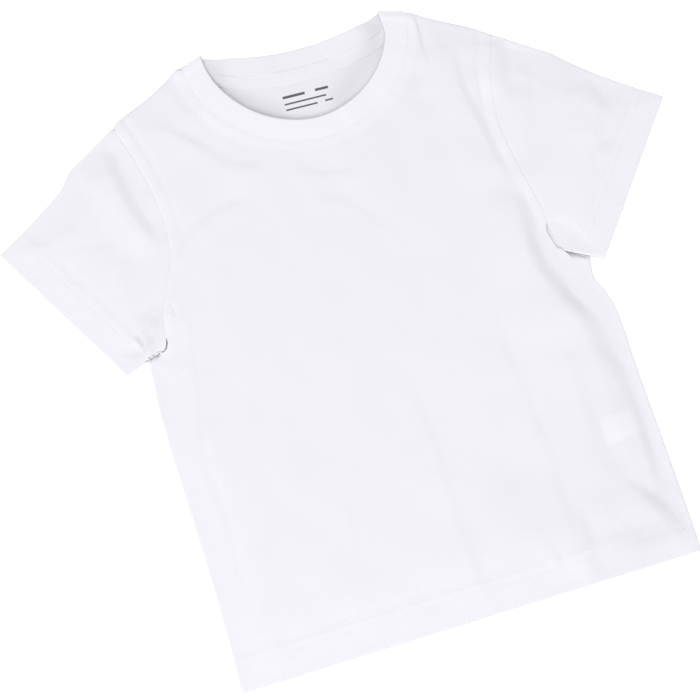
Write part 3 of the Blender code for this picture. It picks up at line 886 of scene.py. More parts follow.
    def doubled(self, places: Array) -> Array:
        """Where the cloth lies double, which looks whiter, because less shows through it, and where shade is
        painted on it.

        Args:
            places: Places of (x, y).

        Returns:
            A share for each place, from 0 to 1 over a hem or a seam's allowance, and less than 0 where shade
            is painted.
        """
        places = np.asarray(places, float)
        at_hem, at_armhole, at_label = self.whiteness
        share = at_hem * self.hem.turned(self._inside_hems(places))
        gap, _, side = nearest(places, self.neckline.front_seam_line())
        beyond = np.where(side > 0, gap, 0.0) - self.neck_band
        share = np.maximum(share, 1 - smooth_step(beyond / 3.5 + 0.3))
        for shape in SIDES:
            gap, run, side = nearest(places, shape.line(shape.armhole))
            band = at_armhole * (1 - smooth_step((gap - self._armhole_width(run)) / 2.5 + 0.4))
            share = np.maximum(share, np.where(side * shape.sign > 0, band, 0.0))
        share = np.maximum(share, at_label * self.label.at(places) / self.label.rise)
        # The painted shade bands take the share below 0.
        return share - painted_shade_at(places, TOP_PAINTED_SHADE)

    def thicker(self, places: Array) -> Array:
        """How much thicker the shirt is near the collar's two corners."""
        rise = np.zeros(len(places))
        for away in self._from_ends(places, self.neckline.seam_width, self.neckline.seam_top):
            rise += self.corner_rise * (1 - smooth_step((away - self.corner_core) / self.corner_reach))
        return rise

    def under_lift(self, places: Array) -> Array:
        """How far the back is held off the surface beside the collar's two corners."""
        lift = np.zeros(len(places))
        for away in self._from_ends(places, self.neckline.edge_width, self.neckline.edge_top):
            lift += self.corner_lift * (1 - smooth_step(away / self.corner_lift_reach))
        for index, fold in enumerate(NECK_FOLDS):
            lift += np.maximum(fold.at(places, 0.4 * index), 0.0)
        return lift

    def top(self, places: Array) -> Array:
        """The height of the top layer's outer face.

        Args:
            places: Places of (x, y).

        Returns:
            A height for each place.
        """
        places = np.asarray(places, float)
        folded = self._from_folds(places)
        hemmed = self._from_open_edges(places)
        label = self.label.at(places)
        rise = self.thicker(places)
        at_fold = self.fold_edge + self.turn * quarter_round(folded / self.turn_radius)
        at_fold += rise * (self.corner_split + (1 - self.corner_split) * quarter_round(folded / 2.5))
        least = np.minimum(at_fold, self.least) + self.label_clearance * label
        from_neck = nearest(places, self.neckline.front_seam_line())[0]
        loft = self.loft - rise - self.neck_drop * (1 - smooth_step(from_neck / self.neck_reach))
        at_fold += np.maximum(loft, 0) * smooth_step(folded / self.loft_width)
        near, far = self.shoulder_reach
        for shape, height in zip(SIDES, self.shoulder_rise):
            away = nearest(places, shape.line(shape.shoulder))[0]
            at_fold += height * quarter_round(away / near) * (1 - smooth_step(away / far))
        at_hem = self.hem_edge + self.hem_turn * quarter_round(hemmed / self.hem_turn)
        at_hem += self.hem_loft * smooth_step(hemmed / self.hem_loft_width)
        from_fold, from_hem = self.crease_reach
        inward = smooth_step(folded / from_fold)
        inward *= self.crease_share + (1 - self.crease_share) * smooth_step(hemmed / from_hem)
        creased = np.zeros(len(places))
        for index, crease in enumerate(TOP_CREASES):
            creased += crease.at(places, 0.37 * index)
        for swell in TOP_UNEVENNESS:
            creased += swell.at(places)
        fine = self.hem_relief(places) + label + EDGE_WAVE.at(places)
        fine = fine * smooth_step(folded / 3.0) + self.seam_relief(places) * smooth_step(folded / 2.0 + 0.15)
        over = np.minimum(at_fold, at_hem) + creased * inward + fine - least
        return least + 0.5 * (over + np.sqrt(over**2 + self.least_blend**2))

    def under(self, places: Array) -> Array:
        """The height of the under layer's outer face, which lies on the surface.

        Args:
            places: Places of (x, y).

        Returns:
            A height for each place, never below the surface.
        """
        places = np.asarray(places, float)
        folded = self._from_folds(places)
        hemmed = self._from_open_edges(places)
        edge = self.under_edge + self.corner_split * self.thicker(places)
        height = edge * (1 - quarter_round(folded / self.turn_radius))
        height = np.maximum(height, self.hem_turn * (1 - quarter_round(hemmed / self.hem_turn)))
        inside = self._inside_hems(places)
        for row in self.hem.rows:
            height += self.under_row.at(inside - row)
        away = smooth_step(folded / 6.0) * smooth_step(hemmed / 6.0)
        for index, crease in enumerate(UNDER_CREASES):
            height += crease.at(places, 0.29 * index) * away
        near_fold = smooth_step(folded / 3.0)
        for shape in SIDES:
            height += self.under_armhole.at(nearest(places, shape.line(shape.armhole))[0]) * near_fold
        height += self.under_neck.at(nearest(places, self.neckline.back_seam_line())[0]) * near_fold
        return height + self.under_lift(places) * smooth_step(folded / 8.0)


# -------- finishes


class NodeBench:
    """Adds nodes to a tree and joins them."""

    def __init__(self, tree: bpy.types.NodeTree) -> None:
        """Keeps the tree."""
        self.tree = tree

    def add(self, kind: str, **settings: object) -> bpy.types.Node:
        """A new node with these settings."""
        node = self.tree.nodes.new(kind)
        for name, value in settings.items():
            setattr(node, name, value)
        return node

    def put(self, socket: Socket, value: object) -> None:
        """Joins a socket to an output, or sets its number or colour."""
        if isinstance(value, Socket):
            self.tree.links.new(value, socket)
        else:
            socket.default_value = value

    def math(self, operation: str, *values: object) -> Socket:
        """The output of a Math node."""
        node = self.add("ShaderNodeMath", operation=operation)
        for socket, value in zip(node.inputs, values):
            self.put(socket, value)
        return node.outputs[0]

    def times(self, value: object, factor: object) -> Socket:
        """A product."""
        return self.math("MULTIPLY", value, factor)

    def plus(self, value: object, more: object) -> Socket:
        """A sum."""
        return self.math("ADD", value, more)

    def scaled(self, value: object, factor: object, offset: object) -> Socket:
        """A product with an offset added."""
        return self.math("MULTIPLY_ADD", value, factor, offset)

    def wave(self, value: object, length: float = 1.0) -> Socket:
        """A sine wave of that length."""
        return self.math("SINE", self.times(value, math.tau / length))

    def parts(self, vector: Socket) -> bpy.types.bpy_prop_collection:
        """The X, Y and Z of a vector."""
        node = self.add("ShaderNodeSeparateXYZ")
        self.put(node.inputs[0], vector)
        return node.outputs

    def here(self) -> Socket:
        """The shaded place, in the frame's metres."""
        return self.add("ShaderNodeTexCoord").outputs["Object"]

    def noise(self, vector: Socket, scale: float, detail: float) -> Socket:
        """The value of a Noise Texture."""
        node = self.add("ShaderNodeTexNoise")
        self.put(node.inputs["Vector"], vector)
        self.put(node.inputs["Scale"], scale)
        self.put(node.inputs["Detail"], detail)
        return node.outputs["Fac"]

    def blend(self, share: object, low: object, high: object) -> Socket:
        """A colour between two by a share."""
        node = self.add("ShaderNodeMix", data_type="RGBA")
        for name, value in (("Factor_Float", share), ("A_Color", low), ("B_Color", high)):
            self.put(next(s for s in node.inputs if s.identifier == name), value)
        return next(s for s in node.outputs if s.identifier == "Result_Color")

    def raised(self, shader: bpy.types.Node, height: Socket, metres: float) -> None:
        """Gives a shader's surface a fine relief of this height."""
        node = self.add("ShaderNodeBump")
        self.put(node.inputs["Strength"], 1.0)
        self.put(node.inputs["Distance"], metres)
        self.put(node.inputs["Height"], height)
        self.put(shader.inputs["Normal"], node.outputs[0])


def new_material(name: str) -> tuple[bpy.types.Material, NodeBench, bpy.types.Node]:
    """A new material, its bench and its Principled shader."""
    material = bpy.data.materials.new(name)
    material.use_nodes = True
    return material, NodeBench(material.node_tree), material.node_tree.nodes["Principled BSDF"]


def opaque(colour: tuple[float, float, float], gain: float = 1.0) -> tuple[float, ...]:
    """A colour made lighter or darker, with its alpha."""
    return (*(min(1.0, value * gain) for value in colour), 1.0)


class GroupMaker:
    """Builds each shared node group once."""

    @staticmethod
    def _group(name: str, inputs: dict[str, float], outputs: tuple[str, str]) -> tuple:
        """A group that reads a vector and these numbers.

        Args:
            name: The group's name.
            inputs: Each number with its default.
            outputs: Its two outputs.

        Returns:
            The group, its bench, its inputs and its outputs.
        """
        tree = bpy.data.node_groups.new(name, "ShaderNodeTree")
        tree.interface.new_socket("Vector", in_out="INPUT", socket_type="NodeSocketVector")
        for label, default in inputs.items():
            socket = tree.interface.new_socket(label, in_out="INPUT", socket_type="NodeSocketFloat")
            socket.default_value = default
        for label in outputs:
            tree.interface.new_socket(label, in_out="OUTPUT", socket_type="NodeSocketFloat")
        bench = NodeBench(tree)
        return tree, bench, bench.add("NodeGroupInput").outputs, bench.add("NodeGroupOutput").inputs

    @staticmethod
    @cache
    def knit() -> bpy.types.NodeTree:
        """Jersey's columns of slanting loops, as a height and a shade between them."""
        tree, bench, given, made = GroupMaker._group(
            "knit_loops", {"Wale": 0.00075, "Course": 0.00055}, ("Height", "Shade")
        )
        x, y, _ = bench.parts(given["Vector"])
        drift = bench.times(bench.noise(given["Vector"], 90.0, 2.0), 0.9)
        across = bench.plus(bench.math("DIVIDE", x, given["Wale"]), drift)
        part = bench.math("SUBTRACT", bench.math("FRACT", across), 0.5)
        leg = bench.math("ABSOLUTE", bench.wave(part))
        slant = bench.times(bench.math("ABSOLUTE", part), 1.3)
        loop = bench.wave(bench.plus(bench.math("DIVIDE", y, given["Course"]), slant))
        height = bench.times(leg, bench.scaled(loop, 0.3, 0.7))
        bench.put(made["Height"], height)
        bench.put(made["Shade"], bench.math("SUBTRACT", 1.0, height))
        return tree

    @staticmethod
    @cache
    def rib() -> bpy.types.NodeTree:
        """Rib's raised and sunk wales, as a height and a shade between them."""
        tree, bench, given, made = GroupMaker._group(
            "rib_wales", {"Pitch": 0.0019, "Course": 0.0007}, ("Height", "Shade")
        )
        x, y, _ = bench.parts(given["Vector"])
        drift = bench.times(bench.noise(given["Vector"], 60.0, 1.0), 0.6)
        wale = bench.wave(bench.plus(bench.math("DIVIDE", x, given["Pitch"]), drift))
        slant = bench.times(bench.math("ABSOLUTE", wale), 0.5)
        loop = bench.wave(bench.plus(bench.math("DIVIDE", y, given["Course"]), slant))
        bench.put(made["Height"], bench.plus(bench.times(wale, 0.5), bench.times(loop, 0.12)))
        bench.put(made["Shade"], bench.scaled(wale, -0.5, 0.5))
        return tree

    @staticmethod
    @cache
    def mottle() -> bpy.types.NodeTree:
        """The soft cloudiness of bleached cotton, with a few sparse slubs, from 0 to 1."""
        tree, bench, given, made = GroupMaker._group("cotton_mottle", {}, ("Amount", "Slub"))
        cloud = bench.noise(given["Vector"], 38.0, 3.0)
        grain = bench.noise(given["Vector"], 420.0, 2.0)
        bench.put(made["Amount"], bench.plus(bench.times(cloud, 0.65), bench.times(grain, 0.35)))
        stretch = bench.add("ShaderNodeMapping")
        bench.put(stretch.inputs["Scale"], (900.0, 160.0, 900.0))
        bench.put(stretch.inputs["Vector"], given["Vector"])
        slub = bench.math("GREATER_THAN", bench.noise(stretch.outputs[0], 1.0, 1.0), 0.72)
        bench.put(made["Slub"], bench.math("SMOOTH_MIN", slub, 1.0, 0.1))
        return tree


@dataclass(frozen=True)
class Rule:
    """One printed rule of the plain size mark, in pattern millimetres."""

    x: float
    y: float
    half_length: float
    half_height: float


PRINT_GREY = (0.035, 0.035, 0.04)
# How soft a printed edge is, in millimetres.
PRINT_EDGE = 0.25

# A plain mark of unequal rules inside the neck.
SIZE_MARK = (
    Rule(-11.0, 406.3, 8.5, 1.1),
    Rule(10.5, 406.5, 5.0, 1.1),
    Rule(-3.5, 400.4, 16.0, 0.7),
    Rule(-7.5, 395.6, 12.0, 0.7),
    Rule(13.5, 395.9, 3.0, 0.7),
)


class Knit(Enum):
    """How a cloth is knitted, by the name of the node group that draws it."""

    JERSEY = "knit"
    RIB = "rib"


@dataclass(frozen=True)
class ClothFinish:
    """A cotton cloth: its colours, its knit and its sheen.

    Attributes:
        name: The material's name.
        light, dark: The colours of the loops and between them.
        knit: How it is knitted.
        pitch, course: The width of one wale, and the height of one loop.
        bump: The loops' height in metres.
        roughness, sheen: How matt and how fuzzy it is.
        double_gain, painted_shade_gain: How light it is where it lies double, and where its painted shade is
            deepest.
        mark: The rules that are printed on it.
    """

    name: str
    light: tuple[float, float, float]
    dark: tuple[float, float, float]
    knit: Knit = Knit.JERSEY
    pitch: float = 0.00075
    course: float = 0.00055
    bump: float = 0.00006
    roughness: float = 0.88
    sheen: float = 0.12
    double_gain: float = 1.027
    painted_shade_gain: float = 0.84
    mark: tuple[Rule, ...] = ()

    def _mark_mask(self, bench: NodeBench) -> Socket:
        """1 where a rule is printed, with slightly soft edges."""
        place = bench.here()
        parts = bench.parts(place)
        grain = bench.noise(place, 2600.0, 1.0)
        mask: object = 0.0
        for rule in self.mark:
            over = []
            halves = (rule.half_length, rule.half_height)
            for part, middle, half in zip(parts, world((rule.x, rule.y, 0.0)), halves):
                away = bench.math("ABSOLUTE", bench.math("SUBTRACT", part, float(middle)))
                over.append(bench.math("SUBTRACT", away, half * MM))
            edge = bench.scaled(bench.math("MAXIMUM", *over), -1 / (PRINT_EDGE * MM), 0.5)
            mask = bench.math("MAXIMUM", mask, edge)
        mask = bench.math("MINIMUM", bench.math("MAXIMUM", mask, 0.0), 1.0)
        return bench.times(mask, bench.scaled(grain, -0.3, 1.05))

    @cache
    def made(self) -> bpy.types.Material:
        """The material, built once."""
        material, bench, shader = new_material(self.name)
        uv = bench.add("ShaderNodeUVMap", uv_map=UV_NAME).outputs[0]
        knit = bench.add("ShaderNodeGroup", node_tree=getattr(GroupMaker, self.knit.value)())
        for socket, value in zip(knit.inputs, (uv, self.pitch, self.course)):
            bench.put(socket, value)
        mottle = bench.add("ShaderNodeGroup", node_tree=GroupMaker.mottle())
        bench.put(mottle.inputs["Vector"], uv)
        cloud, slub = mottle.outputs
        shade = bench.times(knit.outputs["Shade"], 0.55)
        shade = bench.scaled(slub, 0.25, bench.scaled(cloud, 0.45, shade))
        colour = bench.blend(shade, opaque(self.light), opaque(self.dark))
        layers = bench.add("ShaderNodeAttribute", attribute_name=DOUBLED_AND_PAINTED_SHADE).outputs["Fac"]
        whiter = (opaque(tone, self.double_gain) for tone in (self.light, self.dark))
        colour = bench.blend(layers, colour, bench.blend(shade, *whiter))
        # Painted shade: where the share is below 0, the colour is darkened towards the deepest painted shade.
        colour = bench.blend(bench.times(layers, -1.0), colour, opaque(self.light, self.painted_shade_gain))
        if self.mark:
            colour = bench.blend(self._mark_mask(bench), colour, opaque(PRINT_GREY))
        bench.put(shader.inputs["Base Color"], colour)
        bench.put(shader.inputs["Roughness"], bench.scaled(cloud, 0.1, self.roughness - 0.05))
        bench.put(shader.inputs["Sheen Weight"], self.sheen)
        bench.put(shader.inputs["Sheen Roughness"], 0.6)
        bench.put(shader.inputs["Specular IOR Level"], 0.25)
        slubbed = bench.scaled(slub, 0.5, knit.outputs["Height"])
        bench.raised(shader, bench.scaled(cloud, 0.6, slubbed), self.bump)
        material.diffuse_color = opaque(self.light)
        return material


@dataclass(frozen=True)
class SatinFinish:
    """The care label's woven satin: fine bright floats with a soft gloss."""

    name: str = "label_satin"
    light: tuple[float, float, float] = (0.90, 0.90, 0.92)
    dark: tuple[float, float, float] = (0.80, 0.80, 0.83)

    @cache
    def made(self) -> bpy.types.Material:
        """The material, built once."""
        material, bench, shader = new_material(self.name)
        u, v, _ = bench.parts(bench.add("ShaderNodeUVMap", uv_map=UV_NAME).outputs[0])
        weave = bench.scaled(bench.times(bench.wave(u, 0.0003), bench.wave(v, 0.0012)), 0.5, 0.5)
        bench.put(shader.inputs["Base Color"], bench.blend(weave, opaque(self.dark), opaque(self.light)))
        bench.put(shader.inputs["Roughness"], bench.scaled(weave, 0.15, 0.38))
        bench.raised(shader, weave, 0.00003)
        return material


@dataclass(frozen=True)
class ThreadFinish:
    """The sewing thread: white polyester with its ply's twist."""

    name: str = "sewing_thread"
    light: tuple[float, float, float] = (0.92, 0.92, 0.94)
    dark: tuple[float, float, float] = (0.80, 0.80, 0.83)

    @cache
    def made(self) -> bpy.types.Material:
        """The material, built once."""
        material, bench, shader = new_material(self.name)
        place = bench.here()
        turned = bench.add("ShaderNodeMapping")
        bench.put(turned.inputs["Rotation"], (0.0, 0.0, math.radians(38)))
        bench.put(turned.inputs["Vector"], place)
        ply = bench.wave(bench.parts(turned.outputs[0])[0], 0.00035)
        share = bench.scaled(ply, 0.35, bench.times(bench.noise(place, 700.0, 2.0), 0.6))
        bench.put(shader.inputs["Base Color"], bench.blend(share, opaque(self.dark), opaque(self.light)))
        bench.put(shader.inputs["Roughness"], bench.scaled(ply, 0.08, 0.55))
        bench.raised(shader, ply, 0.00004)
        return material


WHITE = (0.880, 0.871, 0.920)
WHITE_SHADE = (0.825, 0.816, 0.868)
# The inside's colours are a little darker than the outside's: painted shade on the back, seen inside the
# neck.
INSIDE_WHITE = (0.868, 0.859, 0.908)
INSIDE_SHADE = (0.814, 0.805, 0.856)
# The rib's colours are darker than the jersey's; the collar's front half is lightened again by its doubled
# share, so its back half inside the neck keeps a painted shade.
RIB_WHITE = (0.841, 0.832, 0.881)
RIB_SHADE = (0.816, 0.807, 0.856)
JERSEY = ClothFinish("white_jersey", WHITE, WHITE_SHADE)
PRINTED_JERSEY = ClothFinish("white_jersey_with_size_mark", INSIDE_WHITE, INSIDE_SHADE, mark=SIZE_MARK)
RIB = ClothFinish(
    "white_rib", RIB_WHITE, RIB_SHADE, Knit.RIB, pitch=0.0015, course=0.0007, bump=0.00003, double_gain=1.036
)
TAPE = ClothFinish("white_tape", WHITE, WHITE_SHADE, pitch=0.0009, course=0.0009, bump=0.00008)


# -------- cloth pieces


def made_mesh(
    name: str, places: Array, faces: list, uv: Array, material: bpy.types.Material
) -> bpy.types.Object:
    """A smooth shaded object at the origin, with its place in its mesh.

    Args:
        name: The piece's name.
        places: Rows of (x, y, z) in pattern millimetres.
        faces: Rows of place numbers.
        uv: Each place's (u, v) in metres.
        material: The material of every face.

    Returns:
        The new object.
    """
    mesh = bpy.data.meshes.new(name)
    mesh.from_pydata(world(places).tolist(), [], faces)
    layer = mesh.uv_layers.new(name=UV_NAME)
    corners = np.empty(len(mesh.loops), np.int32)
    mesh.loops.foreach_get("vertex_index", corners)
    layer.data.foreach_set("uv", np.asarray(uv, np.float32)[corners].ravel())
    mesh.materials.append(material)
    mesh.shade_smooth()
    piece = bpy.data.objects.new(name, mesh)
    bpy.context.scene.collection.objects.link(piece)
    return piece


def shaded(piece: bpy.types.Object, shares: Array) -> None:
    """Keeps each place's doubled share, less than 0 where shade is painted, which the finish reads."""
    attribute = piece.data.attributes.new(DOUBLED_AND_PAINTED_SHADE, "FLOAT", "POINT")
    attribute.data.foreach_set("value", np.asarray(shares, np.float32))


def joined(piece: bpy.types.Object) -> None:
    """Joins places that meet, such as the two ends of a ring, and keeps the UV map's own ends."""
    shape = bmesh.new()
    shape.from_mesh(piece.data)
    bmesh.ops.remove_doubles(shape, verts=shape.verts, dist=1e-7)
    shape.to_mesh(piece.data)
    shape.free()


def net_faces(rows: int, columns: int) -> list[list[int]]:
    """The faces of a net of places, row after row, each face from its lowest place."""
    corners = [row * columns + column for row in range(rows - 1) for column in range(columns - 1)]
    return [[low, low + columns, low + columns + 1, low + 1] for low in corners]


def with_wall(
    piece: bpy.types.Object, wall: float, weights: Array | None = None, least: float = 0.0
) -> None:
    """Gives a cloth surface its thickness on its inner side, which stays above the surface below.

    Args:
        piece: The surface, whose faces point outwards.
        wall: The thickness in millimetres.
        weights: Each place's share of the way from the least thickness to the wall.
        least: The least thickness in millimetres.
    """
    solidify = piece.modifiers.new("wall", "SOLIDIFY")
    solidify.thickness = wall * MM
    solidify.offset = -1
    if weights is not None:
        group = piece.vertex_groups.new(name="thick")
        for level in np.unique(np.round(weights, 1)):
            group.add([int(i) for i in np.nonzero(np.round(weights, 1) == level)[0]], float(level), "REPLACE")
        solidify.vertex_group = group.name
        solidify.thickness_vertex_group = least / wall
    bpy.ops.object.select_all(action="DESELECT")
    piece.select_set(True)
    bpy.context.view_layer.objects.active = piece
    bpy.ops.object.modifier_apply(modifier=solidify.name)
    for corner in piece.data.vertices:
        corner.co.z = max(corner.co.z, 0.0)
    piece.vertex_groups.clear()
    piece.select_set(False)


def declared(
    piece: bpy.types.Object,
    node: str | None,
    flat: Pair,
    area: float,
    with_pieces: list[bpy.types.Object],
) -> None:
    """Attaches a sheet of cloth to the shirt's body, hides the node that it stands for and logs its cut.

    Args:
        piece: The cloth.
        node: The node that it stands for.
        flat: The width and length of its cut, in millimetres.
        area: The flat area of its cut, in square millimetres.
        with_pieces: The sewing on it; not used.
    """
    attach(piece, BODY)
    if node:
        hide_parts(node)
    LOG.info("%s: cut %.0f x %.0f mm, %.0f cm2", piece.name, flat[0], flat[1], area / 100)


# A stitch's rings from end to end: where along its length, how thick, and how far above the face.
STITCH_RINGS = (
    (-0.5, 0.0, -0.9), (-0.4, 0.75, -0.35), (-0.14, 1.0, 0.15),
    (0.14, 1.0, 0.15), (0.4, 0.75, -0.35), (0.5, 0.0, -0.9),
)
STITCH_SIDES = 5
STITCH_SEED = 7
# How deep a stitch's middle lies in the upper face, and its height in the lower one.
STITCH_SINK = 0.06
STITCH_UNDER = 0.24


@dataclass
class StitchRow:
    """A row of plain stitches, each a short thread that dips into the cloth at both ends.

    Attributes:
        line, heights: The row's places of (x, y), and the cloth's outer face along it.
        outward: 1 where the thread lies above the face, -1 where it lies below.
        length, pitch: One stitch, and from one stitch to the next.
        radius: The thread's half thickness.
    """

    line: Array
    heights: Array
    outward: int = 1
    length: float = 2.5
    pitch: float = 3.0
    radius: float = 0.19

    def _stitch(self, middle: float, half: float, lean: float) -> list[tuple[float, ...]]:
        """One stitch's places.

        Args:
            middle: Where its middle lies along the row.
            half: Its length with its slight unevenness.
            lean: How far it is turned from the row's direction.

        Returns:
            Its places, ring after ring, with one place at each end.
        """
        run = run_of(self.line)
        ends = (middle - half / 2, middle + half / 2)
        start, stop = (np.array([np.interp(end, run, self.line[:, i]) for i in (0, 1)]) for end in ends)
        along = (stop - start) / np.linalg.norm(stop - start)
        along = along + lean * np.array([-along[1], along[0]])
        across = np.array([-along[1], along[0]])
        centre = (start + stop) / 2
        face = float(np.interp(middle, run, self.heights))
        places = []
        for share, thick, lift in STITCH_RINGS:
            at = centre + along * share * half
            level = face + self.outward * lift * self.radius
            if thick == 0.0:
                places.append((*at, level))
                continue
            for side in range(STITCH_SIDES):
                angle = math.tau * side / STITCH_SIDES + 0.3
                out = self.radius * thick * math.cos(angle)
                places.append((*(at + across * out), level + self.radius * thick * math.sin(angle)))
        return places

    def capsules(self, seed: int) -> tuple[Array, list[list[int]]]:
        """The row's stitches.

        Args:
            seed: The seed of their slight unevenness.

        Returns:
            Their places and their faces.
        """
        total = run_of(self.line)[-1]
        count = max(1, int(total / self.pitch))
        chance = np.random.default_rng(seed)
        rings = len(STITCH_RINGS) - 2
        places, faces = [], []
        for index in range(count):
            middle = (index + 0.5) * total / count + chance.uniform(-0.12, 0.12)
            half = self.length * chance.uniform(0.93, 1.05)
            first = len(places) + 1
            places += self._stitch(middle, half, chance.uniform(-0.05, 0.05))
            for side in range(STITCH_SIDES):
                after = (side + 1) % STITCH_SIDES
                faces.append([first - 1, first + after, first + side])
                for low in range(first, first + (rings - 1) * STITCH_SIDES, STITCH_SIDES):
                    high = low + STITCH_SIDES
                    faces.append([low + side, low + after, high + after, high + side])
                low = first + (rings - 1) * STITCH_SIDES
                faces.append([low + side, low + after, low + STITCH_SIDES])
        return np.array(places), faces


def stitched_over(relief: Relief, line: Array) -> StitchRow:
    """A row of stitches on the shirt's upper face."""
    return StitchRow(line, relief.top(line) - STITCH_SINK)


def stitched_under(line: Array) -> StitchRow:
    """A row of stitches on the shirt's lower face, drawn into the cloth."""
    return StitchRow(line, np.full(len(line), STITCH_UNDER), outward=-1)


def sewn(name: str, rows: list[StitchRow]) -> bpy.types.Object:
    """One piece that holds several rows of stitches.

    Args:
        name: The piece's name.
        rows: The rows.

    Returns:
        The new object.
    """
    blocks, faces = [], []
    for seed, row in enumerate(rows):
        first = sum(len(block) for block in blocks)
        places, row_faces = row.capsules(seed + STITCH_SEED)
        blocks.append(places)
        faces += [[first + i for i in face] for face in row_faces]
    places = np.vstack(blocks)
    piece = made_mesh(name, places, faces, places[:, :2] * MM, ThreadFinish().made())
    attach(piece, BODY)
    return piece


@dataclass
class BodyPanel:
    """The front or the back, cut to the side seams, armholes, shoulders and collar seam.

    Attributes:
        layer: The top layer is the front and the under layer the back.
        relief: The heights that it follows.
        spacing: The size of its mesh.
        wall: Its thickness, and that of its hem.
        neck_tuck, armhole_tuck: How far it passes under the collar's seam and the sleeve's.
        insets: The rows of places just inside its edges, where it turns.
        band_rows: The rows of places where a seam's allowance ends.
        sharp, sharp_rows: The half width under which a crease gets rows of its own, and where these lie.
        sharp_gap, top_edge: How far other places stay from them, and the height above which there are none.
    """

    layer: Layer
    relief: Relief
    spacing: float = 2.2
    wall: Pair = (0.8, 1.25)
    neck_tuck: float = 1.7
    armhole_tuck: float = 0.12
    insets: tuple[float, ...] = (0.1, 0.35, 0.8, 1.5, 2.6)
    band_rows: tuple[float, ...] = (5.9, 6.6, 7.3, 8.1)
    sharp: float = 1.6
    sharp_rows: tuple[float, ...] = (-1.5, -0.75, 0.0, 0.75, 1.5)
    sharp_gap: float = 1.1
    top_edge: float = 460.0

    @property
    def on_top(self) -> bool:
        """Whether it is the front."""
        return self.layer is Layer.TOP

    @property
    def node(self) -> str:
        """The node that it replaces."""
        return "front" if self.on_top else "back"

    def _one_side(self, shape: SideShape) -> Array:
        """Its edge on one side, from the hem to the collar's seam."""
        line = shape.line(shape.armhole)
        gape = shape.gape(run_of(line) / run_of(line)[-1]) if self.on_top else 0.0
        aside = np.full(len(line), -self.armhole_tuck) + (shape.slit_width + self.armhole_tuck) * gape
        armhole = line + (moved_sideways(line, shape.sign) - line) * aside[:, None]
        armhole[0] = line[0]
        return np.vstack([shape.side_line()[1:], armhole, shape.line(shape.shoulder)[1:-1]])

    def outline(self) -> Array:
        """Its outline, from the hem's right end along the hem and up the left side."""
        hem = spread(self.relief.hem.line(0.0), np.linspace(0, 1, 160))
        neck = self.relief.neckline
        line = neck.front_seam_line() if self.on_top else neck.back_seam_line()
        right, left = (self._one_side(shape) for shape in SIDES)
        return np.vstack([hem, left, moved_sideways(line, -self.neck_tuck), right[::-1]])

    def _near_edge(self, outline: Array) -> Array:
        """Rows of places just inside the outline."""
        ring = closed(outline)
        wrapped = np.vstack([outline[-1:], ring])
        rows = []
        for distance in self.insets:
            moved = moved_sideways(wrapped, distance)[1:-1]
            rows.append(moved[nearest(moved, ring)[0] > distance * 0.93])
        return np.vstack(rows)

    def _at_bands(self, ring: Array) -> Array:
        """Rows of places along the ends of the seams' allowances."""
        lines = [moved_sideways(self.relief.neckline.front_seam_line(), d) for d in self.band_rows]
        for shape in SIDES:
            lines += [moved_sideways(shape.line(shape.armhole), shape.sign * d) for d in self.band_rows]
        places = np.vstack(lines)
        return places[nearest(places, ring)[0] > self.insets[-1] + 1.2]

    def _at_creases(self, ring: Array) -> Array:
        """Rows of places along the sharpest creases."""
        rows = []
        for crease in TOP_CREASES:
            if min(crease.width) < self.sharp:
                line = smooth_line(crease.line, 1.2)
                width = np.linspace(*crease.width, len(line))[:, None]
                sideways = moved_sideways(line, 1.0) - line
                rows += [line + sideways * width * across for across in self.sharp_rows]
        places = np.vstack(rows)
        low = self.relief.hem.y(places[:, 0]) + 3.0
        inside = (places[:, 1] > low) & (places[:, 1] < self.top_edge)
        inside &= nearest(places, ring)[0] > self.insets[-1] + 0.6
        for shape in SIDES:
            inside &= (nearest(places, shape.line(shape.armhole))[2] * shape.sign > 0) | (places[:, 1] < 240)
        return places[inside]

    def _grid(self, outline: Array) -> Array:
        """An even grid of places inside the rows along its edges."""
        low, high = outline.min(0), outline.max(0)
        rows = np.arange(low[1], high[1], self.spacing * math.sqrt(3) / 2)
        columns = np.arange(low[0], high[0], self.spacing)
        shift = (np.arange(len(rows)) % 2) * self.spacing / 2
        grid = np.stack([columns[None, :] + shift[:, None], np.repeat(rows[:, None], len(columns), 1)], 2)
        grid = grid.reshape(-1, 2)
        return grid[nearest(grid, closed(outline))[0] > self.insets[-1] + self.spacing * 0.5]

    def places(self, outline: Array) -> tuple[Array, list[list[int]]]:
        """Its flat places and triangles.

        Args:
            outline: Its outline.

        Returns:
            The places and the triangles.
        """
        grid = self._grid(outline)
        loose = [self._near_edge(outline)]
        if self.on_top:
            ring = closed(outline)
            first, last = self.band_rows[0] - self.spacing / 2, self.band_rows[-1] + self.spacing / 2
            seams = [self.relief.neckline.front_seam_line()] + [shape.line(shape.armhole) for shape in SIDES]
            for seam in seams:
                gap = nearest(grid, seam)[0]
                grid = grid[(gap < first) | (gap > last)]
            sharp = self._at_creases(ring)
            loose += [self._at_bands(ring), sharp]
            grid = grid[[np.linalg.norm(sharp - place, axis=1).min() > self.sharp_gap for place in grid]]
        places = np.vstack([outline, *loose, grid])
        count = len(outline)
        edges = [(i, (i + 1) % count) for i in range(count)]
        found = delaunay_2d_cdt([tuple(place) for place in places], edges, [list(range(count))], 1, 1e-4)
        used, faces = np.unique(found[2], return_inverse=True)
        return np.array([tuple(found[0][i]) for i in used]), faces.reshape(-1, 3).tolist()

    def stitching(self) -> bpy.types.Object:
        """The hem's rows of stitches on this layer's outer face."""
        rows = []
        for distance in self.relief.hem.rows:
            line = spread(self.relief.hem.line(distance), np.linspace(0.006, 0.994, 200))
            rows.append(stitched_over(self.relief, line) if self.on_top else stitched_under(line))
        return sewn(f"{self.node}_hem_stitching", rows)

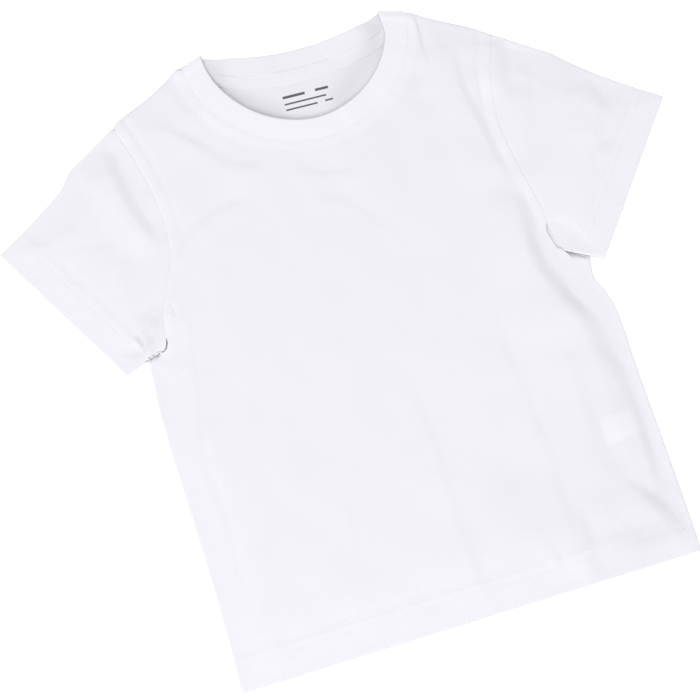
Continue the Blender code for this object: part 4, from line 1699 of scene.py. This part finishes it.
    def tucked(self, places: Array) -> Array:
        """How far the panel's edge dips to pass under the collar and the sleeves."""
        gap, _, side = nearest(places, self.relief.neckline.front_seam_line())
        dip = np.where((side < 0) & (gap < 5.0), 0.9 * smooth_step((gap - 0.5) / 1.0), 0.0)
        for shape in SIDES:
            gap, _, side = nearest(places, shape.line(shape.armhole))
            dip += np.where((side * shape.sign < 0) & (gap < 0.5), 0.15 * smooth_step(gap / 0.1), 0.0)
        return dip

    def build(self) -> None:
        outline = self.outline()
        places, faces = self.places(outline)
        if self.on_top:
            heights = self.relief.top(places) - self.tucked(places)
            # The front's share whitens doubled cloth and, below 0, holds painted shade.
            shares, finish, rests_on = self.relief.doubled(places), JERSEY, ["back"]
        else:
            heights = self.relief.under(places)
            # The back's share is painted shade inside the neck, along the collar's front edge.
            shares, finish, rests_on = -painted_shade_at(places, NECK_PAINTED_SHADE), PRINTED_JERSEY, []
            faces = [face[::-1] for face in faces]
        solid = np.column_stack([places, heights])
        piece = made_mesh(self.node + "_panel", solid, faces, places * MM, finish.made())
        shaded(piece, shares)
        from_hem = places[:, 1] - self.relief.hem.y(places[:, 0])
        with_wall(piece, self.wall[1], self.relief.hem.turned(from_hem), self.wall[0])
        size = tuple(outline.max(0) - outline.min(0))
        declared(piece, self.node, size, polygon_area(outline), [self.stitching()])


@dataclass
class Sleeve:
    """A sleeve, a tube pressed flat, open at the armhole and at the cuff.

    Attributes:
        shape: The side that it is on.
        relief: The heights that it follows.
        spacing: The size of its mesh.
        wall: Its thickness, and that of its hem.
        edge_steps: The distances from a fold at which its places lie in the turn.
        end_steps: The shares of its length near each end at which its places lie.
        whiteness: How white its doubled hem looks.
    """

    shape: SideShape
    relief: Relief
    spacing: float = 1.6
    wall: Pair = (0.8, 1.25)
    edge_steps: tuple[float, ...] = (0.0, 0.1, 0.35, 0.8, 1.4, 2.4)
    end_steps: tuple[float, ...] = (0.0, 0.002, 0.006, 0.012, 0.02)
    whiteness: float = 0.35

    @property
    def node(self) -> str:
        """The node that it replaces."""
        return f"{self.shape.name}_sleeve"

    def net(self) -> Array:
        """Rows of flat places from the armhole to the cuff, each from the top fold to the underarm."""
        shape = self.shape
        armhole = shape.line(shape.armhole)[::-1].copy()
        top = shape.line(shape.sleeve_top)
        cuff = shape.cuff_line()
        under = shape.underarm_line()
        armhole[-1], top[0] = under[0], armhole[0]
        width = run_of(cuff)[-1]
        edge = np.array(self.edge_steps) / width
        middle = np.linspace(edge[-1], 1 - edge[-1], round(width / self.spacing))[1:-1]
        down = np.concatenate([edge, middle, 1 - edge[::-1]])
        ends = np.array(self.end_steps)
        body = np.linspace(ends[-1], 1 - ends[-1], round(run_of(top)[-1] / self.spacing))[1:-1]
        along = np.concatenate([ends, body, 1 - ends[::-1]])
        first, last = spread(armhole, down), spread(cuff, down)
        net = []
        for at in along:
            start, end = spread(top, [at])[0], spread(under, [at])[0]
            across = down[:, None]
            ruled = (1 - at) * first + at * last
            net.append(ruled + (1 - across) * (start - ruled[0]) + across * (end - ruled[-1]))
        return np.array(net)

    def cut(self) -> tuple[Pair, float]:
        """Its cut laid open, square to the cuff.

        Returns:
            The width and length, and the area, in millimetres.
        """
        shape = self.shape
        folds = [shape.underarm_line()[1:], shape.line(shape.sleeve_top)[::-1]]
        outline = np.vstack([shape.line(shape.armhole)[::-1], *folds])
        _, along, inward = shape.cuff_frame()
        width = np.ptp(outline @ along)
        length = np.ptp(outline @ inward)
        return (2 * float(width), float(length)), 2 * polygon_area(outline)

    def stitching(self) -> bpy.types.Object:
        """The cuff's rows of stitches on both faces."""
        tip, along, inward = self.shape.cuff_frame()
        folds = (self.shape.line(self.shape.sleeve_top), self.shape.underarm_line())
        rows = []
        for distance in self.relief.hem.rows:
            line = tip + inward * distance + along * np.linspace(-40, 190, 800)[:, None]
            gaps = [nearest(line, fold)[0] for fold in folds]
            first, last = sorted(int(np.argmin(gap)) for gap in gaps)
            inside = np.arange(len(line))
            inside = (inside >= first) & (inside <= last)
            line = line[inside & (np.minimum(*gaps) > 1.2)]
            rows += [stitched_over(self.relief, line), stitched_under(line)]
        return sewn(f"{self.node}_cuff_stitching", rows)

    def build(self) -> None:
        net = self.net()
        stations, across = net.shape[:2]
        flat = net.reshape(-1, 2)
        upper = self.relief.top(flat).reshape(stations, across)
        lower = self.relief.under(flat).reshape(stations, across)
        edge = (self.relief.fold_edge + self.relief.under_edge) / 2
        upper[:, [0, -1]] = lower[:, [0, -1]] = edge
        ring = 2 * across - 2
        places = []
        for row, high, low in zip(net, upper, lower):
            places += [(x, y, z) for (x, y), z in zip(row, low)]
            places += [(x, y, z) for (x, y), z in zip(row[-2:0:-1], high[-2:0:-1])]
        faces = []
        for low in range(0, (stations - 1) * ring, ring):
            for i in range(ring):
                j = (i + 1) % ring
                face = [low + i, low + j, low + ring + j, low + ring + i]
                faces.append(face if self.shape.sign < 0 else face[::-1])
        solid = np.array(places)
        tip, along, inward = self.shape.cuff_frame()
        flat = solid[:, :2]
        uv = np.column_stack([(flat - tip) @ along, (flat - tip) @ inward]) * MM
        piece = made_mesh(f"{self.node}_tube", solid, faces, uv, JERSEY.made())
        turned = self.relief.hem.turned(self.shape.cuff_distance(flat))
        # Its doubled hem is whiter, and painted shade darkens its upper layer where a band of it passes.
        shaded(piece, self.whiteness * turned - painted_shade_at(solid, TOP_PAINTED_SHADE) * (solid[:, 2] > edge))
        with_wall(piece, self.wall[1], turned, self.wall[0])
        size, area = self.cut()
        declared(piece, self.node, size, area, [self.stitching()])


@dataclass
class Collar:
    """The collar, a band of rib folded at its neck edge, whose front half lies on the front.

    Attributes:
        relief: The heights that its seam follows.
        thickness, wall: Of the folded band, and of one layer of rib.
        least_height: The least height of its outer face at the shoulders.
        lift: How much higher its neck edge stands than its seam, at the front and shoulders.
        flat_lift: The lift that needs no shift of its neck edge, at the front and shoulders.
        edge_shift: How far that edge moves sideways and towards the hem for each millimetre of lift.
        edge_pull: How far its neck edge is pulled in beside the wearer's left shoulder.
        pull_angle, pull_start: Over which angle that ends in front, and from which share it starts behind.
        crown: How far its middle bulges.
        shoulder_out: The direction in which it bulges at the shoulder fold.
        shoulder_bulge: How much it bulges there at its neck edge and at its seam.
        front_steps, turn_steps, back_steps: Its sections on each side of the front, in each fold and behind.
        across, nose_steps: Its places from the seam to the fold on each face, and round the fold.
        seam_reach, seam_stand: How far outside its seam the front holds it up, and how far above the front.
        seam_steps, seam_clear: The distances from the seam of its outermost places, and of the others' first.
    """

    relief: Relief
    thickness: float = 1.7
    wall: float = 0.8
    least_height: float = 4.45
    lift: Pair = (0.25, 0.3)
    flat_lift: Pair = (2.0, 3.0)
    edge_shift: Pair = (0.10, 0.35)
    edge_pull: float = 3.4
    pull_angle: float = 20.0
    pull_start: float = 0.75
    crown: float = 0.08
    shoulder_out: Pair = (0.40, 0.64)
    shoulder_bulge: Pair = (1.0, -0.3)
    front_steps: int = 100
    turn_steps: int = 18
    back_steps: int = 64
    across: int = 11
    nose_steps: int = 6
    seam_reach: float = 2.5
    seam_stand: float = 0.05
    seam_steps: tuple[float, ...] = (0.0, 0.06, 0.2, 0.5, 1.1)
    seam_clear: float = 2.0

    def _held(self, edge: tuple[float, ...], seam: tuple[float, ...]) -> float:
        """How far a section of the back half is held off the surface, from its edge and its seam."""
        middle = self.relief.neckline.at((edge[0] + seam[0]) / 2, (edge[1] + seam[1]) / 2)
        return float(self.relief.under_lift(np.array([middle]))[0])

    def _front(self, sign: int) -> list[Section]:
        """The sections on one side of the front, from its middle to the shoulder.

        Args:
            sign: 1 on the wearer's left and -1 on the wearer's right.

        Returns:
            The sections, measured from the neckline's middle.
        """
        neck = self.relief.neckline
        angles = [90 * (1 - step / self.front_steps) for step in range(self.front_steps + 1)]
        seams = np.array([neck.at(sign * x, y) for x, y in (neck.seam(angle) for angle in angles)])
        edges = np.array([neck.at(sign * x, y) for x, y in (neck.edge(angle) for angle in angles)])
        outward = (seams - edges) / np.linalg.norm(seams - edges, axis=1)[:, None]
        levels = np.maximum(self.relief.top(seams + self.seam_reach * outward), self.least_height)
        sections = []
        for angle, level in zip(angles, levels.tolist()):
            share = math.sin(math.radians(90 - angle))
            lift = self.lift[0] + (self.lift[1] - self.lift[0]) * share
            rise = lift - self.flat_lift[0] - (self.flat_lift[1] - self.flat_lift[0]) * share
            x, y = neck.edge(angle)
            pull = self.edge_pull * (1 - smooth_step(angle / self.pull_angle)) if sign > 0 else 0.0
            edge = (x - sign * self.edge_shift[0] * rise - pull, y - self.edge_shift[1] * rise, level + lift)
            sections.append((edge, (*neck.seam(angle), level + self.seam_stand), 1.0))
        return sections

    def _turn(self, edge: Place, seam: Place) -> list[Section]:
        """The sections of one shoulder's fold, from the front's last edge and seam down to the back."""
        low = self._held(edge, seam)
        sections = []
        for step in range(1, self.turn_steps + 1):
            angle = math.radians(90 - 180 * step / self.turn_steps)
            placed = []
            for (x, y, height), bulge in zip((edge, seam), self.shoulder_bulge):
                radius = (height - low) / 2
                reach = radius * math.cos(angle) * bulge
                level = low + radius * (1 + math.sin(angle))
                placed.append((x + reach * self.shoulder_out[0], y + reach * self.shoulder_out[1], level))
            sections.append((*placed, (1 + math.sin(angle)) / 2))
        return sections

    def _back(self, sign: int) -> list[Section]:
        """The sections on one side of the back, from the shoulder to its middle."""
        neck = self.relief.neckline
        sections = []
        for step in range(1, self.back_steps + 1):
            cos = math.cos(math.radians(90 * step / self.back_steps))
            edge_x, seam_x = neck.edge_width * cos, neck.seam_width * cos
            beyond = (cos - self.pull_start) / (1 - self.pull_start)
            pull = self.edge_pull * smooth_step(beyond) if sign > 0 else 0.0
            edge, seam = (edge_x - pull, neck.back_edge_y(edge_x)), (seam_x, neck.back_seam_y(seam_x))
            low = self._held(edge, seam)
            sections.append(((*edge, low), (*seam, low), 0.0))
        return sections

    def _half(self, sign: int) -> list[tuple[Array, Array, float]]:
        """The sections on one side, from the centre front over the shoulder to the centre back.

        Args:
            sign: 1 on the wearer's left and -1 on the wearer's right.

        Returns:
            For each section its neck edge and its seam in the pattern, and its share of being on top.
        """
        sections = self._front(sign)
        sections += self._turn(*sections[-1][:2]) + self._back(sign)
        at = self.relief.neckline.at
        placed = []
        for edge, seam, on_top in sections:
            ends = [np.array([*at(sign * x, y), z]) for x, y, z in (edge, seam)]
            placed.append((*ends, on_top))
        return placed

    def _profile(self, width: float, on_top: float) -> list[Pair]:
        """One section's outer face, from the seam round the neck edge and back to the seam.

        Args:
            width: The band's width there.
            on_top: Its share of being on top.

        Returns:
            Places of (distance from the neck edge, height).
        """
        radius = self.thickness / 2
        inner = np.linspace(width - self.seam_clear, radius, self.across)
        steps = np.concatenate([width - np.array(self.seam_steps), inner])
        crown = self.crown * on_top * np.sin(math.pi * np.clip(steps / width, 0, 1))
        start = float(crown[-1])
        profile = list(zip(steps, crown))
        for angle in np.linspace(0, math.pi, self.nose_steps + 2)[1:-1]:
            profile.append((radius * (1 - math.sin(angle)), start - radius * (1 - math.cos(angle))))
        below = [start * 0.5 + 0.5 * height - self.thickness for height in crown[::-1]]
        return profile + list(zip(steps[::-1], below))

    def build(self) -> None:
        sections = self._half(-1)[::-1] + self._half(1)[1:]
        edges, seams, on_top = (np.array(column) for column in zip(*sections))
        out = seams - edges
        widths = np.linalg.norm(out, axis=1)
        out /= widths[:, None]
        middle = (edges + seams) / 2
        along = np.gradient(middle, axis=0)
        along[0] = along[-1] = along[0] + along[-1]
        normal = np.cross(out, along)
        normal /= np.linalg.norm(normal, axis=1)[:, None]
        run = run_of(middle)
        places, uv = [], []
        for index, width in enumerate(widths):
            profile = self._profile(width, on_top[index])
            for (step, height), across in zip(profile, run_of(np.array(profile))):
                places.append(edges[index] + out[index] * step + normal[index] * height)
                uv.append((run[index] * MM, across * MM))
        count = len(profile)
        solid = np.array(places)
        piece = made_mesh("collar_rib", solid, net_faces(len(sections), count), np.array(uv), RIB.made())
        # The front half is lightened through its share, and the back half inside the neck is darker: painted
        # shade, deepest along the front's edge.
        share = np.repeat(on_top, count)
        shaded(piece, share - (1 - share) * painted_shade_at(solid, NECK_PAINTED_SHADE))
        joined(piece)
        with_wall(piece, self.wall)
        width, length = float(2 * widths.mean()), float(run[-1])
        declared(piece, "collar", (width, length), width * length, [])


@dataclass
class NeckTape:
    """The tape over the back neck seam, its edges turned under and stitched down.

    Attributes:
        relief: The heights of the shirt.
        half_length, width: Half its length, and its width as sewn.
        bottom, step: The height of its lower face inside the back, and how much higher its upper edge lies.
        overlap: How far it reaches past the seam, onto the collar.
        rise, crown: The height of its upper face above its lower one, and how much higher its middle is.
        wall: The cloth's thickness.
        steps: Its places from end to end.
        rows: How far its rows of stitches lie from its upper edge.
    """

    relief: Relief
    half_length: float = 72.0
    width: float = 11.8
    bottom: float = 0.84
    step: float = 0.86
    overlap: float = 1.5
    rise: float = 0.3
    crown: float = 0.12
    wall: float = 0.2
    steps: int = 120
    rows: tuple[float, ...] = (0.8, 3.3, 10.9)

    def _line(self, inset: float) -> Array:
        """A line along the tape at a distance below the seam."""
        neck = self.relief.neckline
        xs = np.linspace(-self.half_length, self.half_length, self.steps)
        return np.array([neck.at(x, neck.back_seam_y(x) + self.overlap - inset) for x in xs])

    def build(self) -> None:
        half, radius = self.width / 2, self.rise / 2
        section = [(-0.3, 0.0), (-half * 0.5, 0.0), (-half + radius, 0.0)]
        for angle in np.linspace(0, math.pi, 7)[1:-1]:
            section.append((-half + radius - radius * math.sin(angle), radius - radius * math.cos(angle)))
        crest = np.linspace(-half + radius, half - radius, 9)
        section += [(x, self.rise + self.crown * (1 - (x / half) ** 2)) for x in crest]
        for angle in np.linspace(math.pi, 0, 7)[1:-1]:
            section.append((half - radius + radius * math.sin(angle), radius - radius * math.cos(angle)))
        section += [(half - radius, 0.0), (half * 0.5, 0.0), (0.3, 0.0)]
        rows = [self._line(half - x) for x, _ in section]
        round_section = run_of(np.array(section))
        places, uv = [], []
        for row, (across_place, height), across in zip(rows, section, round_section):
            run = run_of(row)
            swell = TAPE_SWELL.at(row)
            base = self.bottom + self.step * (0.5 + across_place / self.width) + self.relief.under_lift(row)
            for (x, y), along, lift, low in zip(row, run, swell, base):
                places.append((x, y, low + height + (lift if height > radius else 0.0)))
                uv.append((across * MM, along * MM))
        solid = np.array(places)
        faces = [face[::-1] for face in net_faces(len(rows), self.steps)]
        piece = made_mesh("neck_tape_strip", solid, faces, np.array(uv), TAPE.made())
        # Painted shade along the collar's front edge, inside the neck.
        shaded(piece, -painted_shade_at(solid, NECK_PAINTED_SHADE))
        with_wall(piece, self.wall)
        stitch_rows = []
        for inset in self.rows:
            line = spread(self._line(inset), np.linspace(0.01, 0.99, 120))
            level = self.bottom + self.step * (1 - inset / self.width) + self.relief.under_lift(line)
            level += self.rise + 0.02
            stitch_rows.append(StitchRow(line, level, length=2.2, pitch=2.7, radius=0.14))
        stitching = sewn("neck_tape_stitching", stitch_rows)
        length = float(run_of(rows[0])[-1])
        width = float(round_section[-1])
        declared(piece, "neck_tape", (width, length), width * length, [stitching])


@dataclass
class CareLabel:
    """The care label, one satin strip folded in two, sewn into the wearer's left side seam.

    Attributes:
        left, length: Where its fold lies, and how far it is from there to the seam.
        low, width: Its lower edge, and its width.
        bottom, gap: Its height on the inside of the back, and the gap between its two layers.
        wave, wall: The height of its waves, and the satin's thickness.
    """

    left: float = 124.6
    length: float = 32.6
    low: float = 87.0
    width: float = 18.6
    bottom: float = 0.95
    gap: float = 0.42
    wave: float = 0.05
    wall: float = 0.2

    def build(self) -> None:
        radius = self.gap / 2
        xs = np.linspace(self.length, radius, 24)
        section = [(x, 0.0) for x in xs]
        for angle in np.linspace(0, math.pi, 8)[1:-1]:
            section.append((radius - radius * math.sin(angle), radius - radius * math.cos(angle)))
        section += [(x, self.gap) for x in xs[::-1]]
        run = run_of(np.array(section))
        across = np.linspace(0, self.width, 15)
        places, uv = [], []
        for (x, z), along in zip(section, run):
            for y in across:
                wave = self.wave * math.sin(x / 4.1 + y / 7.0)
                places.append((self.left + x, self.low + y, self.bottom + z + wave))
                uv.append((y * MM, along * MM))
        # The satin's outer side faces the other way, seen from each face's first place.
        faces = [face[:1] + face[:0:-1] for face in net_faces(len(section), len(across))]
        piece = made_mesh("care_label_satin", np.array(places), faces, np.array(uv), SatinFinish().made())
        with_wall(piece, self.wall)
        length = float(run[-1])
        declared(piece, "care_label", (self.width, length), self.width * length, [])


@dataclass
class Studio:
    """The pale floor, the soft light and the camera.

    Attributes:
        camera_at, camera_turn: Where the camera stands, in metres, and how it is turned, in degrees.
        lens: Its focal length on a 36 mm sensor.
        sky, sky_strength: The colour and strength of the light from all round.
        key_power, key_size, key_at: The large soft light's power in watts, its side in metres and its place.
        floor_size, floor_level: The floor's side and its height in metres, just under the shirt.
        floor_tones, floor_glow: Its darker and lighter grey, and how much it glows, for the camera alone.
    """

    camera_at: tuple[float, float, float] = (-0.120209, -0.346032, 0.915082)
    camera_turn: tuple[float, float, float] = (20.0, 0.0, -15.86)
    lens: float = 72.0
    sky: tuple[float, float, float] = (1.0, 1.0, 1.0)
    sky_strength: float = 0.802
    key_power: float = 115.0
    key_size: float = 2.2
    key_at: tuple[float, float, float] = (-2.16, -3.29, 3.08)
    floor_size: float = 6.0
    floor_level: float = -0.0001
    floor_tones: Pair = (0.39, 0.41)
    floor_glow: float = 0.85

    def floor(self) -> None:
        """The floor, a wide plane just under the shirt."""
        bpy.ops.object.select_all(action="DESELECT")
        bpy.ops.mesh.primitive_plane_add(size=self.floor_size, location=(0.0, 0.0, 0.0))
        floor = bpy.context.active_object
        floor.name = "pale_floor"
        floor.data.name = "pale_floor"
        for corner in floor.data.vertices:
            corner.co.z = self.floor_level
        material, bench, shader = new_material("pale_paper")
        low, high = ((tone, tone, tone, 1.0) for tone in self.floor_tones)
        bench.put(shader.inputs["Base Color"], bench.blend(bench.noise(bench.here(), 30.0, 3.0), low, high))
        bench.put(shader.inputs["Roughness"], 0.95)
        bench.put(shader.inputs["Specular IOR Level"], 0.1)
        bench.put(shader.inputs["Emission Color"], (1.0, 1.0, 1.0, 1.0))
        seen = bench.add("ShaderNodeLightPath").outputs["Is Camera Ray"]
        bench.put(shader.inputs["Emission Strength"], bench.times(seen, self.floor_glow))
        floor.data.materials.append(material)
        floor.select_set(False)

    def lights(self) -> None:
        """The even light from all round and one large soft light from the hem's side."""
        world_light = bpy.data.worlds.new("soft_room")
        bpy.context.scene.world = world_light
        world_light.use_nodes = True
        background = world_light.node_tree.nodes["Background"]
        background.inputs["Color"].default_value = (*self.sky, 1.0)
        background.inputs["Strength"].default_value = self.sky_strength
        data = bpy.data.lights.new("soft_key", "AREA")
        data.energy = self.key_power
        data.size = self.key_size
        light = bpy.data.objects.new("soft_key", data)
        bpy.context.scene.collection.objects.link(light)
        x, y, z = self.key_at
        light.location = self.key_at
        light.rotation_euler = (math.atan2(math.hypot(x, y), z), 0.0, math.atan2(-y, -x) - math.pi / 2)

    def camera(self) -> None:
        """The camera, above the hem's side of the shirt."""
        data = bpy.data.cameras.new("camera")
        data.lens = self.lens
        data.sensor_width = 36.0
        data.clip_start = 0.05
        camera = bpy.data.objects.new("camera", data)
        bpy.context.scene.collection.objects.link(camera)
        camera.location = self.camera_at
        camera.rotation_euler = tuple(math.radians(turn) for turn in self.camera_turn)
        bpy.context.scene.camera = camera

    def build(self) -> None:
        """Sets up the whole studio."""
        bpy.context.scene.view_settings.view_transform = "Standard"
        self.floor()
        self.lights()
        self.camera()


def main() -> None:
    """Builds the studio and every piece of the shirt, in the order that it is sewn."""
    logging.basicConfig(level=logging.INFO, format="%(name)s: %(message)s")
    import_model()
    Studio().build()
    relief = Relief()
    BodyPanel(Layer.UNDER, relief, spacing=3.0).build()
    CareLabel().build()
    BodyPanel(Layer.TOP, relief).build()
    for shape in SIDES:
        Sleeve(shape, relief).build()
    NeckTape(relief).build()
    Collar(relief).build()


if __name__ == "__main__":
    main()
